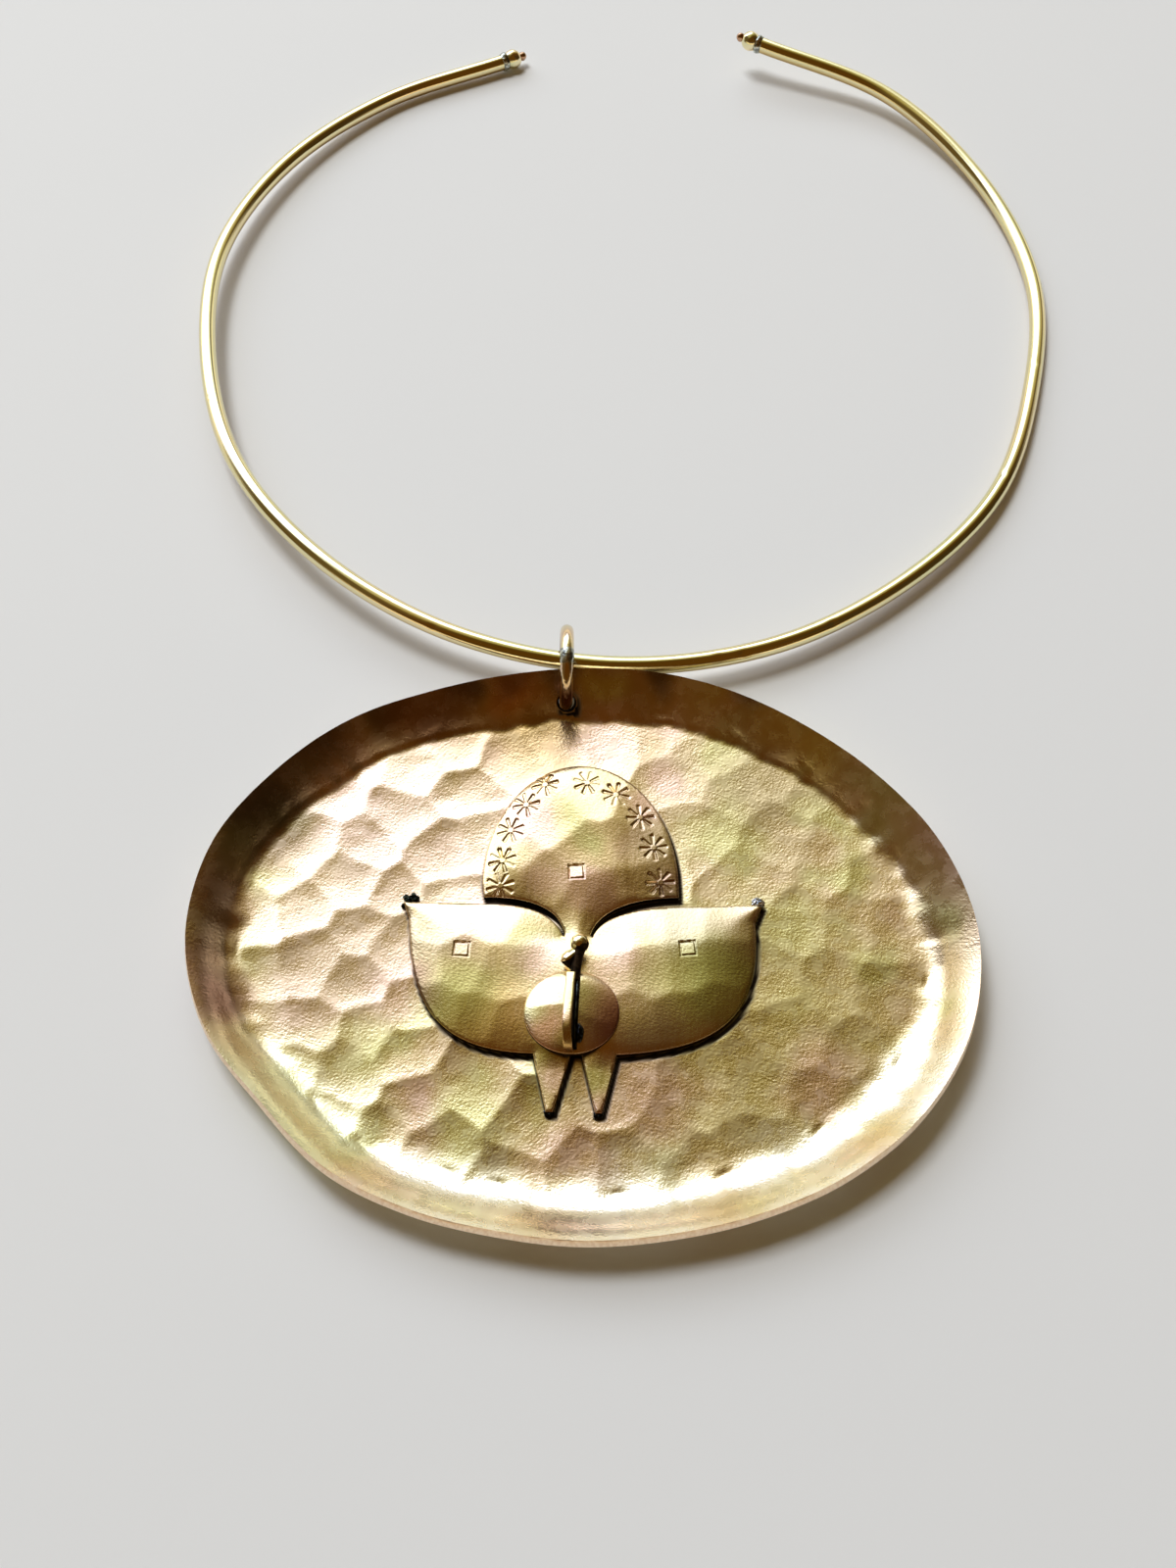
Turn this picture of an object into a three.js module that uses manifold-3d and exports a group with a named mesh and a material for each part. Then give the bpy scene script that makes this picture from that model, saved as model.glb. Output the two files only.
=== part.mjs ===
// Brass plate choker, lying face up as it rests on a table.
//
// A stiff round neck wire, open at the back, ends in a soldered bead finial on each side.
// A jump ring joins it to an oval dished plate, through a hole drilled at the foot of the rim.
// A sawn and domed sheet peacock with a raised belly and head is soldered on the plate.
//
// Millimetres, +Z up. The origin is the middle of the plate's flat back, +Y runs from the
// plate to the wire's open back, and +X is the right-hand side seen from above.

import * as THREE from "three";
import { mergeVertices } from "three/addons/utils/BufferGeometryUtils.js";
import Module from "manifold-3d";

const wasm = await Module();
wasm.setup();

// ---------------------------------------------------------------- driving dimensions

// Neck wire.
const WIRE_RADIUS = 1.3;
const WIRE_SIDES = 12;
const WIRE_STEPS = 96;
const NECK_CENTRE = new THREE.Vector2(6.3, 107.3);
// The wire's centre line from its left end, round the front, to its right end:
// turn is in degrees round the neck's centre, reach is from that centre, lift is above the table.
const WIRE_ROUTE = [
  { turn: 108, reach: 66.9, lift: 1.75 },
  { turn: 128, reach: 67.3, lift: 1.85 },
  { turn: 148, reach: 67.4, lift: 3.1 },
  { turn: 168, reach: 67.2, lift: 4.3 },
  { turn: 188, reach: 65.9, lift: 4.85 },
  { turn: 208, reach: 66.3, lift: 5.2 },
  { turn: 228, reach: 66.2, lift: 5.45 },
  { turn: 248, reach: 66.6, lift: 5.05 },
  { turn: 268, reach: 66.7, lift: 4.25 },
  { turn: 288, reach: 66.1, lift: 3.3 },
  { turn: 308, reach: 65.3, lift: 2.5 },
  { turn: 328, reach: 65.8, lift: 1.9 },
  { turn: 348, reach: 65.6, lift: 1.45 },
  { turn: 368, reach: 68.2, lift: 1.35 },
  { turn: 388, reach: 69.7, lift: 1.9 },
  { turn: 408, reach: 70.4, lift: 3.6 },
  { turn: 428.5, reach: 67.8, lift: 5.75 },
];

// Bead finial on each end of the wire, measured along the wire from its end face.
const FINIAL_SIDES = 12;
const COLLAR = { radius: 1.5, start: -0.3, end: 0.45, rootRadius: 0.95, root: -0.8 };
const BEAD = { radius: 1.65, centre: 1.6 };
const TIP_BEAD = { radius: 0.75, centre: 3.55 };

// Dished oval plate.
const PLATE_SHEET = 1.1;
const PLATE_SIDES = 72;
const RIM_ANGLE = THREE.MathUtils.degToRad(45);
const RIM_FILLET = 7;
const RIM_STRAIGHT = 3.8;
const FILLET_STEPS = 4;
// How far the rim's outer edge reaches from the plate's middle, at equal turns from +X.
const PLATE_REACH = [
  50.3, 48.4, 45.3, 42.7, 41.1, 40.0, 39.3, 39.6, 41.2, 44.3, 47.3, 50.2,
  50.6, 48.7, 45.1, 43.4, 41.1, 39.5, 39.3, 39.9, 41.8, 44.7, 47.8, 50.0,
];

// Hole at the foot of the rim, and the jump ring through it and round the neck wire.
const HOLE_RADIUS = 1.45;
const HOLE_SIDE = -2.3;
const HOLE_TURN = THREE.MathUtils.degToRad(40);
const RING_RADIUS = 5;
const RING_WIRE_RADIUS = 0.925;
const RING_SWING = THREE.MathUtils.degToRad(46.4);
const RING_LEAN = THREE.MathUtils.degToRad(2);

// Sheet peacock: fan tail, two wings and two legs sawn from one sheet.
const BIRD_SHEET = 0.8;
const BIRD_GAP = 0.3;
const BIRD_BULGE = 0.9;
const BULGE_WIDTH = 6.5;
const BIRD_CELL = 1.8;
const CURVE_STEPS = 10;

// How deep each soldered piece is let into the one that carries it.
const SOLDER_SINK = 0.2;

// Belly disc, raised neck strip and head on the peacock.
const BELLY = { x: -1.35, y: -10.2, halfWidth: 6.0, halfLength: 5.5, edge: 0.75, crown: 1.3 };
const STRIP = { width: 1.2, south: -15.5, north: -5.6, crest: 6.3, southTop: 3.9, northTop: 5.5 };
const STRIP_YAW = THREE.MathUtils.degToRad(-3);
const STRIP_LEAN = THREE.MathUtils.degToRad(-8);
const HEAD = {
  nape: new THREE.Vector3(-1.25, -6.4, 4.8),
  brow: new THREE.Vector3(-0.65, -3.2, 5.0),
  crest: new THREE.Vector3(-0.3, -1.9, 5.2),
  beak: new THREE.Vector3(-2.5, -4.1, 4.9),
};
const CREST_RADIUS = 1.0;
const NECK_ROD = { nape: 0.75, crest: 0.55 };
const BEAK_ROD = { brow: 0.95, tip: 0.15 };

// Solder: at both wing tips, both feet and under the top of the tail. Height is above the floor.
const SOLDER_SPOTS = [
  { x: -22.7, y: 5.7, height: 0.7, radius: 0.95 },
  { x: 23.0, y: 5.1, height: 0.6, radius: 0.95 },
  { x: -4.1, y: -22.3, height: 0.3, radius: 0.6 },
  { x: 2.0, y: -22.5, height: 0.3, radius: 0.6 },
  { x: -0.3, y: 24.4, height: 0.2, radius: 0.8 },
];

// ---------------------------------------------------------------- solids

// A closed three.js geometry as a manifold solid.
function toSolid(geometry) {
  const bare = geometry.clone();
  bare.deleteAttribute("normal");
  bare.deleteAttribute("uv");
  const merged = mergeVertices(bare, 1e-4);
  const corners = merged.index.array;
  const kept = [];
  for (let i = 0; i < corners.length; i += 3) {
    const [a, b, c] = [corners[i], corners[i + 1], corners[i + 2]];
    if (a !== b && b !== c && c !== a) kept.push(a, b, c);
  }
  return new wasm.Manifold(new wasm.Mesh({
    numProp: 3,
    vertProperties: new Float32Array(merged.attributes.position.array),
    triVerts: new Uint32Array(kept),
  }));
}

// A manifold solid as a three.js geometry.
function toGeometry(solid) {
  const mesh = solid.getMesh();
  const geometry = new THREE.BufferGeometry();
  geometry.setAttribute("position", new THREE.BufferAttribute(mesh.vertProperties, 3));
  geometry.setIndex(new THREE.BufferAttribute(mesh.triVerts, 1));
  geometry.computeVertexNormals();
  return geometry;
}

// Points of an arc in a turned profile: x is the radius, y runs along the axis.
function arcProfile(centre, radius, from, to, steps) {
  const points = [];
  for (let i = 0; i <= steps; i += 1) {
    const turn = from + ((to - from) * i) / steps;
    points.push(new THREE.Vector2(radius * Math.sin(turn), centre - radius * Math.cos(turn)));
  }
  return points;
}

// A closed body lofted through rings of equally many points, with a fan to a middle at each end.
function loft(firstMiddle, rings, lastMiddle) {
  const count = rings[0].length;
  const points = [firstMiddle, ...rings.flat(), lastMiddle];
  const last = points.length - 1;
  const triangles = [];
  for (let i = 0; i < count; i += 1) {
    const next = (i + 1) % count;
    triangles.push(0, 1 + next, 1 + i);
    for (let ring = 0; ring < rings.length - 1; ring += 1) {
      const low = 1 + ring * count;
      const high = low + count;
      triangles.push(low + i, low + next, high + next);
      triangles.push(low + i, high + next, high + i);
    }
    const top = 1 + (rings.length - 1) * count;
    triangles.push(last, top + i, top + next);
  }
  const geometry = new THREE.BufferGeometry().setFromPoints(points);
  geometry.setIndex(triangles);
  return geometry;
}

// A round rod that tapers from one point to another.
function rodBetween(start, end, startRadius, endRadius, sides) {
  const along = new THREE.Vector3().subVectors(end, start);
  const rod = new THREE.CylinderGeometry(endRadius, startRadius, along.length(), sides);
  const turn = new THREE.Quaternion().setFromUnitVectors(
    new THREE.Vector3(0, 1, 0),
    along.clone().normalize(),
  );
  rod.applyQuaternion(turn);
  const middle = new THREE.Vector3().addVectors(start, end).multiplyScalar(0.5);
  return rod.translate(middle.x, middle.y, middle.z);
}

// ---------------------------------------------------------------- neck wire and finials

function wireCurve() {
  const points = WIRE_ROUTE.map(({ turn, reach, lift }) => {
    const angle = THREE.MathUtils.degToRad(turn);
    return new THREE.Vector3(
      NECK_CENTRE.x + reach * Math.cos(angle),
      NECK_CENTRE.y + reach * Math.sin(angle),
      lift,
    );
  });
  return new THREE.CatmullRomCurve3(points);
}

function roundSection(radius, sides) {
  const points = [];
  for (let i = 0; i < sides; i += 1) {
    const turn = (2 * Math.PI * i) / sides;
    points.push(new THREE.Vector2(radius * Math.cos(turn), radius * Math.sin(turn)));
  }
  return new THREE.Shape(points);
}

// The finial turned about +Y: a solder collar over the wire's end, a bead and a small tip bead.
function finialGeometry() {
  const spacing = TIP_BEAD.centre - BEAD.centre;
  const meetAlong =
    (spacing ** 2 + BEAD.radius ** 2 - TIP_BEAD.radius ** 2) / (2 * spacing);
  const beadStart = Math.acos((BEAD.centre - COLLAR.end) / BEAD.radius);
  const beadEnd = Math.acos(-meetAlong / BEAD.radius);
  const tipStart = Math.acos((spacing - meetAlong) / TIP_BEAD.radius);
  const profile = [
    new THREE.Vector2(0, COLLAR.root),
    new THREE.Vector2(COLLAR.rootRadius, COLLAR.root),
    new THREE.Vector2(COLLAR.radius, COLLAR.start),
    new THREE.Vector2(COLLAR.radius, COLLAR.end),
    ...arcProfile(BEAD.centre, BEAD.radius, beadStart, beadEnd, 6),
    ...arcProfile(TIP_BEAD.centre, TIP_BEAD.radius, tipStart, Math.PI, 4).slice(1),
  ];
  profile[profile.length - 1].x = 0;
  return new THREE.LatheGeometry(profile, FINIAL_SIDES);
}

function neckWire() {
  const curve = wireCurve();
  const wire = new THREE.ExtrudeGeometry(roundSection(WIRE_RADIUS, WIRE_SIDES), {
    steps: WIRE_STEPS,
    bevelEnabled: false,
    extrudePath: curve,
  });
  let solid = toSolid(wire);
  for (const end of [0, 1]) {
    const outward = curve.getTangent(end).multiplyScalar(end === 0 ? -1 : 1);
    const turn = new THREE.Quaternion().setFromUnitVectors(new THREE.Vector3(0, 1, 0), outward);
    const place = curve.getPoint(end);
    const finial = finialGeometry().applyQuaternion(turn).translate(place.x, place.y, place.z);
    solid = solid.add(toSolid(finial));
  }
  return toGeometry(solid);
}

// ---------------------------------------------------------------- plate

// Section of the rim: inset is measured inwards from the rim's outer edge.
const ARC_CENTRE_HEIGHT = PLATE_SHEET + RIM_FILLET;
const FLOOR_INSET =
  (RIM_FILLET + PLATE_SHEET) * Math.sin(RIM_ANGLE) + RIM_STRAIGHT * Math.cos(RIM_ANGLE);

function filletPoint(radius, turn) {
  return {
    inset: FLOOR_INSET - radius * Math.sin(turn),
    height: ARC_CENTRE_HEIGHT - radius * Math.cos(turn),
  };
}

function rimSection() {
  const under = [];
  const upper = [];
  for (let i = 0; i <= FILLET_STEPS; i += 1) {
    const turn = (RIM_ANGLE * i) / FILLET_STEPS;
    under.push(filletPoint(RIM_FILLET + PLATE_SHEET, turn));
    upper.push(filletPoint(RIM_FILLET, turn));
  }
  for (const side of [under, upper]) {
    const foot = side[side.length - 1];
    side.push({
      inset: foot.inset - RIM_STRAIGHT * Math.cos(RIM_ANGLE),
      height: foot.height + RIM_STRAIGHT * Math.sin(RIM_ANGLE),
    });
  }
  return [...under, ...upper.reverse()];
}

// The rim's outer edge as a smooth closed curve through the measured reaches.
function rimOutline() {
  const points = PLATE_REACH.map((reach, i) => {
    const turn = (2 * Math.PI * i) / PLATE_REACH.length;
    return new THREE.Vector3(reach * Math.cos(turn), reach * Math.sin(turn), 0);
  });
  const curve = new THREE.CatmullRomCurve3(points, true);
  const outline = [];
  for (let i = 0; i < PLATE_SIDES; i += 1) outline.push(curve.getPoint(i / PLATE_SIDES));
  return outline;
}

function dish() {
  const outline = rimOutline();
  const rings = rimSection().map(({ inset, height }) =>
    outline.map((edge) => {
      const scale = (edge.length() - inset) / edge.length();
      return new THREE.Vector3(edge.x * scale, edge.y * scale, height);
    }),
  );
  return toSolid(loft(new THREE.Vector3(0, 0, 0), rings, new THREE.Vector3(0, 0, PLATE_SHEET)));
}

// The drilled hole's middle, half way through the sheet in the rim's curve.
function holePlace() {
  const { inset, height } = filletPoint(RIM_FILLET + PLATE_SHEET / 2, HOLE_TURN);
  const rimHere = PLATE_REACH[PLATE_REACH.length / 4];
  return new THREE.Vector3(HOLE_SIDE, rimHere - inset, height);
}

function hole() {
  const place = holePlace();
  const drill = new THREE.CylinderGeometry(HOLE_RADIUS, HOLE_RADIUS, 4 * PLATE_SHEET, 16);
  drill.rotateX(Math.PI / 2 + HOLE_TURN);
  return toSolid(drill.translate(place.x, place.y, place.z));
}

// ---------------------------------------------------------------- peacock

// Outline of the peacock sheet, anticlockwise from the right side of the neck of the tail.
function birdShape() {
  const bird = new THREE.Shape();
  bird.moveTo(1.0, 0.7);
  bird.bezierCurveTo(1.9, 3.9, 6.0, 6.0, 12.6, 6.0);
  bird.lineTo(12.6, 8.0);
  bird.absellipse(-0.3, 8.0, 12.9, 17.7, 0, Math.PI, false);
  bird.lineTo(-12.9, 6.1);
  bird.bezierCurveTo(-6.4, 6.2, -2.9, 4.2, -2.3, 0.9);
  bird.lineTo(-2.55, 0.7);
  bird.bezierCurveTo(-4.0, 4.2, -7.5, 5.2, -13.1, 5.2);
  bird.lineTo(-23.4, 5.5);
  bird.lineTo(-22.6, 3.2);
  bird.bezierCurveTo(-21.8, -7.5, -19.5, -14.8, -6.2, -15.1);
  bird.lineTo(-4.5, -22.5);
  bird.lineTo(-3.6, -22.5);
  bird.lineTo(-1.4, -15.0);
  bird.lineTo(-0.2, -15.0);
  bird.lineTo(1.6, -22.7);
  bird.lineTo(2.4, -22.7);
  bird.lineTo(4.3, -15.3);
  bird.bezierCurveTo(17.5, -14.6, 22.6, -10.5, 22.4, 2.4);
  bird.lineTo(23.5, 5.0);
  bird.lineTo(15.6, 4.8);
  bird.bezierCurveTo(7.0, 4.8, 2.5, 3.6, 1.25, 0.5);
  bird.lineTo(1.0, 0.7);
  return bird;
}

// The doming of the sheet: low along every sawn edge and high inside.
function bulge(x, y, outline) {
  const here = new THREE.Vector3(x, y, 0);
  const nearest = new THREE.Vector3();
  let distance = BULGE_WIDTH;
  outline.forEach((start, i) => {
    const end = outline[(i + 1) % outline.length];
    const edge = new THREE.Line3(
      new THREE.Vector3(start.x, start.y, 0),
      new THREE.Vector3(end.x, end.y, 0),
    );
    edge.closestPointToPoint(here, true, nearest);
    distance = Math.min(distance, here.distanceTo(nearest));
  });
  return BIRD_BULGE * (1 - (1 - distance / BULGE_WIDTH) ** 2);
}

// A domed slab that covers the whole bird, before it is cut to the outline.
function domedSlab(outline) {
  const box = new THREE.Box2().setFromPoints(outline).expandByScalar(1);
  const size = box.getSize(new THREE.Vector2());
  const columns = Math.round(size.x / BIRD_CELL);
  const rows = Math.round(size.y / BIRD_CELL);
  const slab = new THREE.BoxGeometry(size.x, size.y, BIRD_SHEET, columns, rows, 1);
  const middle = box.getCenter(new THREE.Vector2());
  slab.translate(middle.x, middle.y, PLATE_SHEET + BIRD_GAP + BIRD_SHEET / 2);
  const places = slab.attributes.position;
  for (let i = 0; i < places.count; i += 1) {
    places.setZ(i, places.getZ(i) + bulge(places.getX(i), places.getY(i), outline));
  }
  return toSolid(slab);
}

function birdSheet() {
  const shape = birdShape();
  const outline = shape.extractPoints(CURVE_STEPS).shape;
  const tall = 4 * (BIRD_SHEET + BIRD_BULGE);
  const prism = new THREE.ExtrudeGeometry(shape, {
    depth: tall,
    bevelEnabled: false,
    curveSegments: CURVE_STEPS,
  });
  return domedSlab(outline).intersect(toSolid(prism));
}

// The belly: a domed oval disc whose foot is set into the sheet.
const BELLY_FOOT = PLATE_SHEET + BIRD_GAP + BIRD_BULGE + BIRD_SHEET - SOLDER_SINK;

function belly() {
  const { halfWidth, crown, edge } = BELLY;
  const domeRadius = (halfWidth ** 2 + crown ** 2) / (2 * crown);
  const halfTurn = Math.asin(halfWidth / domeRadius);
  const dome = arcProfile(0, domeRadius, Math.PI - halfTurn, Math.PI, 5);
  const drop = dome[0].y - edge;
  for (const point of dome) point.y -= drop;
  dome[dome.length - 1].x = 0;
  const profile = [new THREE.Vector2(0, 0), new THREE.Vector2(halfWidth, 0), ...dome];
  const disc = new THREE.LatheGeometry(profile, 28);
  disc.rotateX(Math.PI / 2);
  disc.scale(1, BELLY.halfLength / halfWidth, 1);
  return toSolid(disc.translate(BELLY.x, BELLY.y, BELLY_FOOT));
}

// The neck strip: sheet on edge, arched over the belly from its south end to the head.
function neckStrip() {
  const middle = (STRIP.south + STRIP.north) / 2;
  const foot = BELLY_FOOT + SOLDER_SINK;
  const archHeight = 2 * STRIP.crest - (STRIP.northTop + STRIP.southTop) / 2 - foot;
  const side = new THREE.Shape();
  side.moveTo(STRIP.south - middle, 0);
  side.lineTo(STRIP.north - middle, 0);
  side.lineTo(STRIP.north - middle, STRIP.northTop - foot);
  side.quadraticCurveTo(0.5, archHeight, STRIP.south - middle, STRIP.southTop - foot);
  side.closePath();
  const strip = new THREE.ExtrudeGeometry(side, {
    depth: STRIP.width,
    bevelEnabled: false,
    curveSegments: 8,
  });
  strip.translate(0, 0, -STRIP.width / 2);
  strip.rotateX(Math.PI / 2);
  strip.rotateZ(Math.PI / 2);
  strip.rotateY(STRIP_LEAN);
  strip.rotateZ(STRIP_YAW);
  return toSolid(strip.translate(BELLY.x, middle, foot));
}

// The head beyond the strip: a neck, a beak turned to the left and a round crest.
function head() {
  const crest = new THREE.SphereGeometry(CREST_RADIUS, 12, 8);
  crest.translate(HEAD.crest.x, HEAD.crest.y, HEAD.crest.z);
  return toSolid(rodBetween(HEAD.nape, HEAD.crest, NECK_ROD.nape, NECK_ROD.crest, 8))
    .add(toSolid(rodBetween(HEAD.brow, HEAD.beak, BEAK_ROD.brow, BEAK_ROD.tip, 8)))
    .add(toSolid(crest));
}

function solderSpot({ x, y, height, radius }) {
  const spot = new THREE.SphereGeometry(radius, 10, 6);
  return toSolid(spot.translate(x, y, PLATE_SHEET + height));
}

function plateWithBird() {
  let solid = dish().subtract(hole());
  for (const piece of [birdSheet(), belly(), neckStrip(), head()]) solid = solid.add(piece);
  for (const spot of SOLDER_SPOTS) solid = solid.add(solderSpot(spot));
  return toGeometry(solid);
}

// ---------------------------------------------------------------- jump ring

function jumpRing() {
  const profile = [];
  const sides = 10;
  for (let i = 0; i <= sides; i += 1) {
    const turn = (2 * Math.PI * (i % sides)) / sides;
    profile.push(new THREE.Vector2(
      RING_RADIUS + RING_WIRE_RADIUS * Math.cos(turn),
      RING_WIRE_RADIUS * Math.sin(turn),
    ));
  }
  const ring = new THREE.LatheGeometry(profile, 32);
  ring.rotateZ(Math.PI / 2);
  ring.rotateY(RING_LEAN);
  const place = holePlace();
  return ring.translate(
    place.x,
    place.y + RING_RADIUS * Math.cos(RING_SWING),
    place.z + RING_RADIUS * Math.sin(RING_SWING),
  );
}

// ---------------------------------------------------------------- the choker

const polishedBrass = { color: 0xd9c27a, roughness: 0.18, metalness: 1 };
const satinBrass = { color: 0xc9ab6b, roughness: 0.4, metalness: 1 };
const darkBrass = { color: 0x9c7148, roughness: 0.35, metalness: 1 };

function piece(name, geometry, finish) {
  const mesh = new THREE.Mesh(geometry, new THREE.MeshStandardMaterial(finish));
  mesh.name = name;
  return mesh;
}

const choker = new THREE.Group();
choker.add(piece("neck_wire", neckWire(), polishedBrass));
choker.add(piece("jump_ring", jumpRing(), darkBrass));
choker.add(piece("plate_with_bird", plateWithBird(), satinBrass));

export default choker;
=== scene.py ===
# %% [markdown]
# # Brass plate choker
#
# A stiff open neck wire carries an oval hammered dish on a jump ring, and a sheet peacock is
# soldered on the dish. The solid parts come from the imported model, and this file builds the
# pieces that are looked at: the same shapes, with hammer marks, punches, solder and finishes.
# Sizes below are in millimetres, because a jeweller thinks in them, and each helper turns them
# into Blender's metres.

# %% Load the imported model
import math

import bmesh
import bpy
import numpy as np
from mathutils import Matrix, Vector
from mathutils.geometry import delaunay_2d_cdt


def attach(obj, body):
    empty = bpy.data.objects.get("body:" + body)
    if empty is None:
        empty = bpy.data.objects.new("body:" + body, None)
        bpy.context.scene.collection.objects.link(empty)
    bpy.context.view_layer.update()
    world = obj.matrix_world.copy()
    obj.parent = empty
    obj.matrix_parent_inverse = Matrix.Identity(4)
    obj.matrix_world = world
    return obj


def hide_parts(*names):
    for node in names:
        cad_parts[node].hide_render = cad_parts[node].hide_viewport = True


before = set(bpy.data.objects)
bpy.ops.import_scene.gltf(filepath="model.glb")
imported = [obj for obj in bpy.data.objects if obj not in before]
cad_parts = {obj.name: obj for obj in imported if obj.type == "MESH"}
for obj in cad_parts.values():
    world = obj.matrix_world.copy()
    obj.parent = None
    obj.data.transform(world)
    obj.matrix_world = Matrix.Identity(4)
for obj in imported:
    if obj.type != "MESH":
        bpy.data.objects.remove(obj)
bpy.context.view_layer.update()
print("solids:", sorted(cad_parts))

# %% [markdown]
# ## The view
#
# The choker lies on a table and is seen from above and in front, close enough that the dish looks
# much larger than the far side of the neck wire. A real lens close to the object does the same,
# so the camera stands 190 mm above the table with a normal lens, and nothing is shifted.

# %% Camera
MM = 0.001
CAMERA_PLACE = (0.7, -77.5, 190.0)
CAMERA_TILT = 28.12

lens = bpy.data.cameras.new("camera")
lens.sensor_width = 36.0
lens.lens = 36.0
lens.clip_start = 0.01
lens.clip_end = 20.0
camera = bpy.data.objects.new("camera", lens)
camera.location = Vector(CAMERA_PLACE) * MM
camera.rotation_euler = (math.radians(CAMERA_TILT), 0.0, 0.0)
bpy.context.scene.collection.objects.link(camera)
bpy.context.scene.camera = camera
bpy.context.scene.view_settings.view_transform = "Standard"
print("camera height", CAMERA_PLACE[2], "mm, tilt from straight down", CAMERA_TILT)

# %% [markdown]
# ## Nodes with less typing
#
# A finish is a small network of nodes. Each node is made, set and wired in one call here, so the
# recipes further down read as a list of steps. A value in `wires` may be a number, a colour or
# the output of another node.

# %% Node helpers
def add_node(tree, kind, wires=None, **settings):
    node = tree.nodes.new("ShaderNode" + kind)
    for name, value in settings.items():
        setattr(node, name, value)
    for name, value in (wires or {}).items():
        socket = node.inputs[name]
        if isinstance(value, bpy.types.NodeSocket):
            tree.links.new(value, socket)
        else:
            socket.default_value = value
    return node


def blend_colours(tree, share, first, second, mode="MIX"):
    node = add_node(tree, "Mix", {0: share}, data_type="RGBA", blend_type=mode)
    for socket, value in ((node.inputs[6], first), (node.inputs[7], second)):
        if isinstance(value, bpy.types.NodeSocket):
            tree.links.new(value, socket)
        else:
            socket.default_value = (*value, 1.0)
    return node.outputs[2]


def maths(tree, operation, first, second=0.0):
    return add_node(tree, "Math", {0: first, 1: second}, operation=operation).outputs[0]


def ease(tree, value, start, end, low=0.0, high=1.0):
    wires = {"Value": value, "From Min": start, "From Max": end, "To Min": low, "To Max": high}
    node = add_node(tree, "MapRange", wires, interpolation_type="SMOOTHSTEP")
    return node.outputs["Result"]


def both(tree, first, second):
    return maths(tree, "MULTIPLY", first, second)


def between(tree, value, rise, fall):
    """One inside a band, with a soft rise and a soft fall at its sides."""
    return both(tree, ease(tree, value, *rise), ease(tree, value, *fall, 1.0, 0.0))


print("helpers: add_node, blend_colours, maths, ease, both, between")

# %% [markdown]
# ## Light
#
# Polished metal shows the room it lies in, so the light is a room and not a lamp. A tall window
# stands to the north-west, pale and cool, and its light runs out over the ceiling. Away from the
# window the ceiling gets warmer and darker, and the south and east of the room are dark brown.
# Painting that room on the world by direction is simpler than building walls: one ramp gives the
# ceiling from how far a direction leans towards the window, and the window, the far end of the
# table and the low south wall fade softly over it, as a studio's softboxes do. To the north-east
# the ceiling comes further down, as if the wall there were low, so that side of the wire is pale.
#
# The metal needs strong, golden reflections, but the cloth should stay nearly white. So what
# the room gives to matt surfaces is taken down and cooled a little, by asking the light path.

# %% Room light
WINDOW = (3.3, 3.6, 4.3)
WINDOW_TURN = -31.0
SKY_SCALE = 3.5
RAMP_START = -0.2
CEILING = [  # lean towards the window, colour
    (-0.16, (0.105, 0.043, 0.005)),
    (0.01, (0.090, 0.048, 0.009)),
    (0.10, (0.19, 0.132, 0.034)),
    (0.18, (0.34, 0.27, 0.095)),
    (0.25, (0.47, 0.40, 0.18)),
    (0.37, (0.64, 0.595, 0.35)),
    (0.45, (0.90, 0.90, 0.71)),
    (0.52, (1.40, 1.48, 1.48)),
    (0.65, (2.80, 3.05, 3.45)),
]
WEST_WALL = (0.13, 0.085, 0.03)
EAST_WALL = (0.055, 0.032, 0.010)
TABLE_END = (1.06, 1.01, 0.82)
SOUTH_WALL = (1.15, 0.92, 0.62)
BACKDROP = (0.80, 0.79, 0.76)
WARM_FILL = (0.72, 0.67, 0.60)

room = bpy.data.worlds.new("studio")
bpy.context.scene.world = room
room.use_nodes = True
tree = room.node_tree
tree.nodes.clear()
direction = add_node(tree, "TexCoord").outputs["Generated"]
split = add_node(tree, "SeparateXYZ", {0: direction})
height = maths(tree, "MULTIPLY", maths(tree, "ARCSINE", split.outputs["Z"]), 180 / math.pi)
turn_east = maths(tree, "ARCTAN2", split.outputs["X"], split.outputs["Y"])
turn_east = maths(tree, "MULTIPLY", turn_east, 180 / math.pi)


towards = Vector((math.sin(math.radians(WINDOW_TURN)), math.cos(math.radians(WINDOW_TURN)), 0.0))
lean = add_node(tree, "VectorMath", {0: direction, 1: towards}, operation="DOT_PRODUCT")
ramp = add_node(tree, "ValToRGB", {"Fac": maths(tree, "ADD", lean.outputs["Value"], -RAMP_START)})
stops = ramp.color_ramp.elements
while len(stops) < len(CEILING):
    stops.new(0.5)
for stop, (leaning, colour) in zip(stops, CEILING):
    stop.position = leaning - RAMP_START
    stop.color = (*[part / SKY_SCALE for part in colour], 1.0)
wires = {0: ramp.outputs["Color"], "Scale": SKY_SCALE}
bright = add_node(tree, "VectorMath", wires, operation="SCALE")
ceiling = bright.outputs["Vector"]

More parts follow.
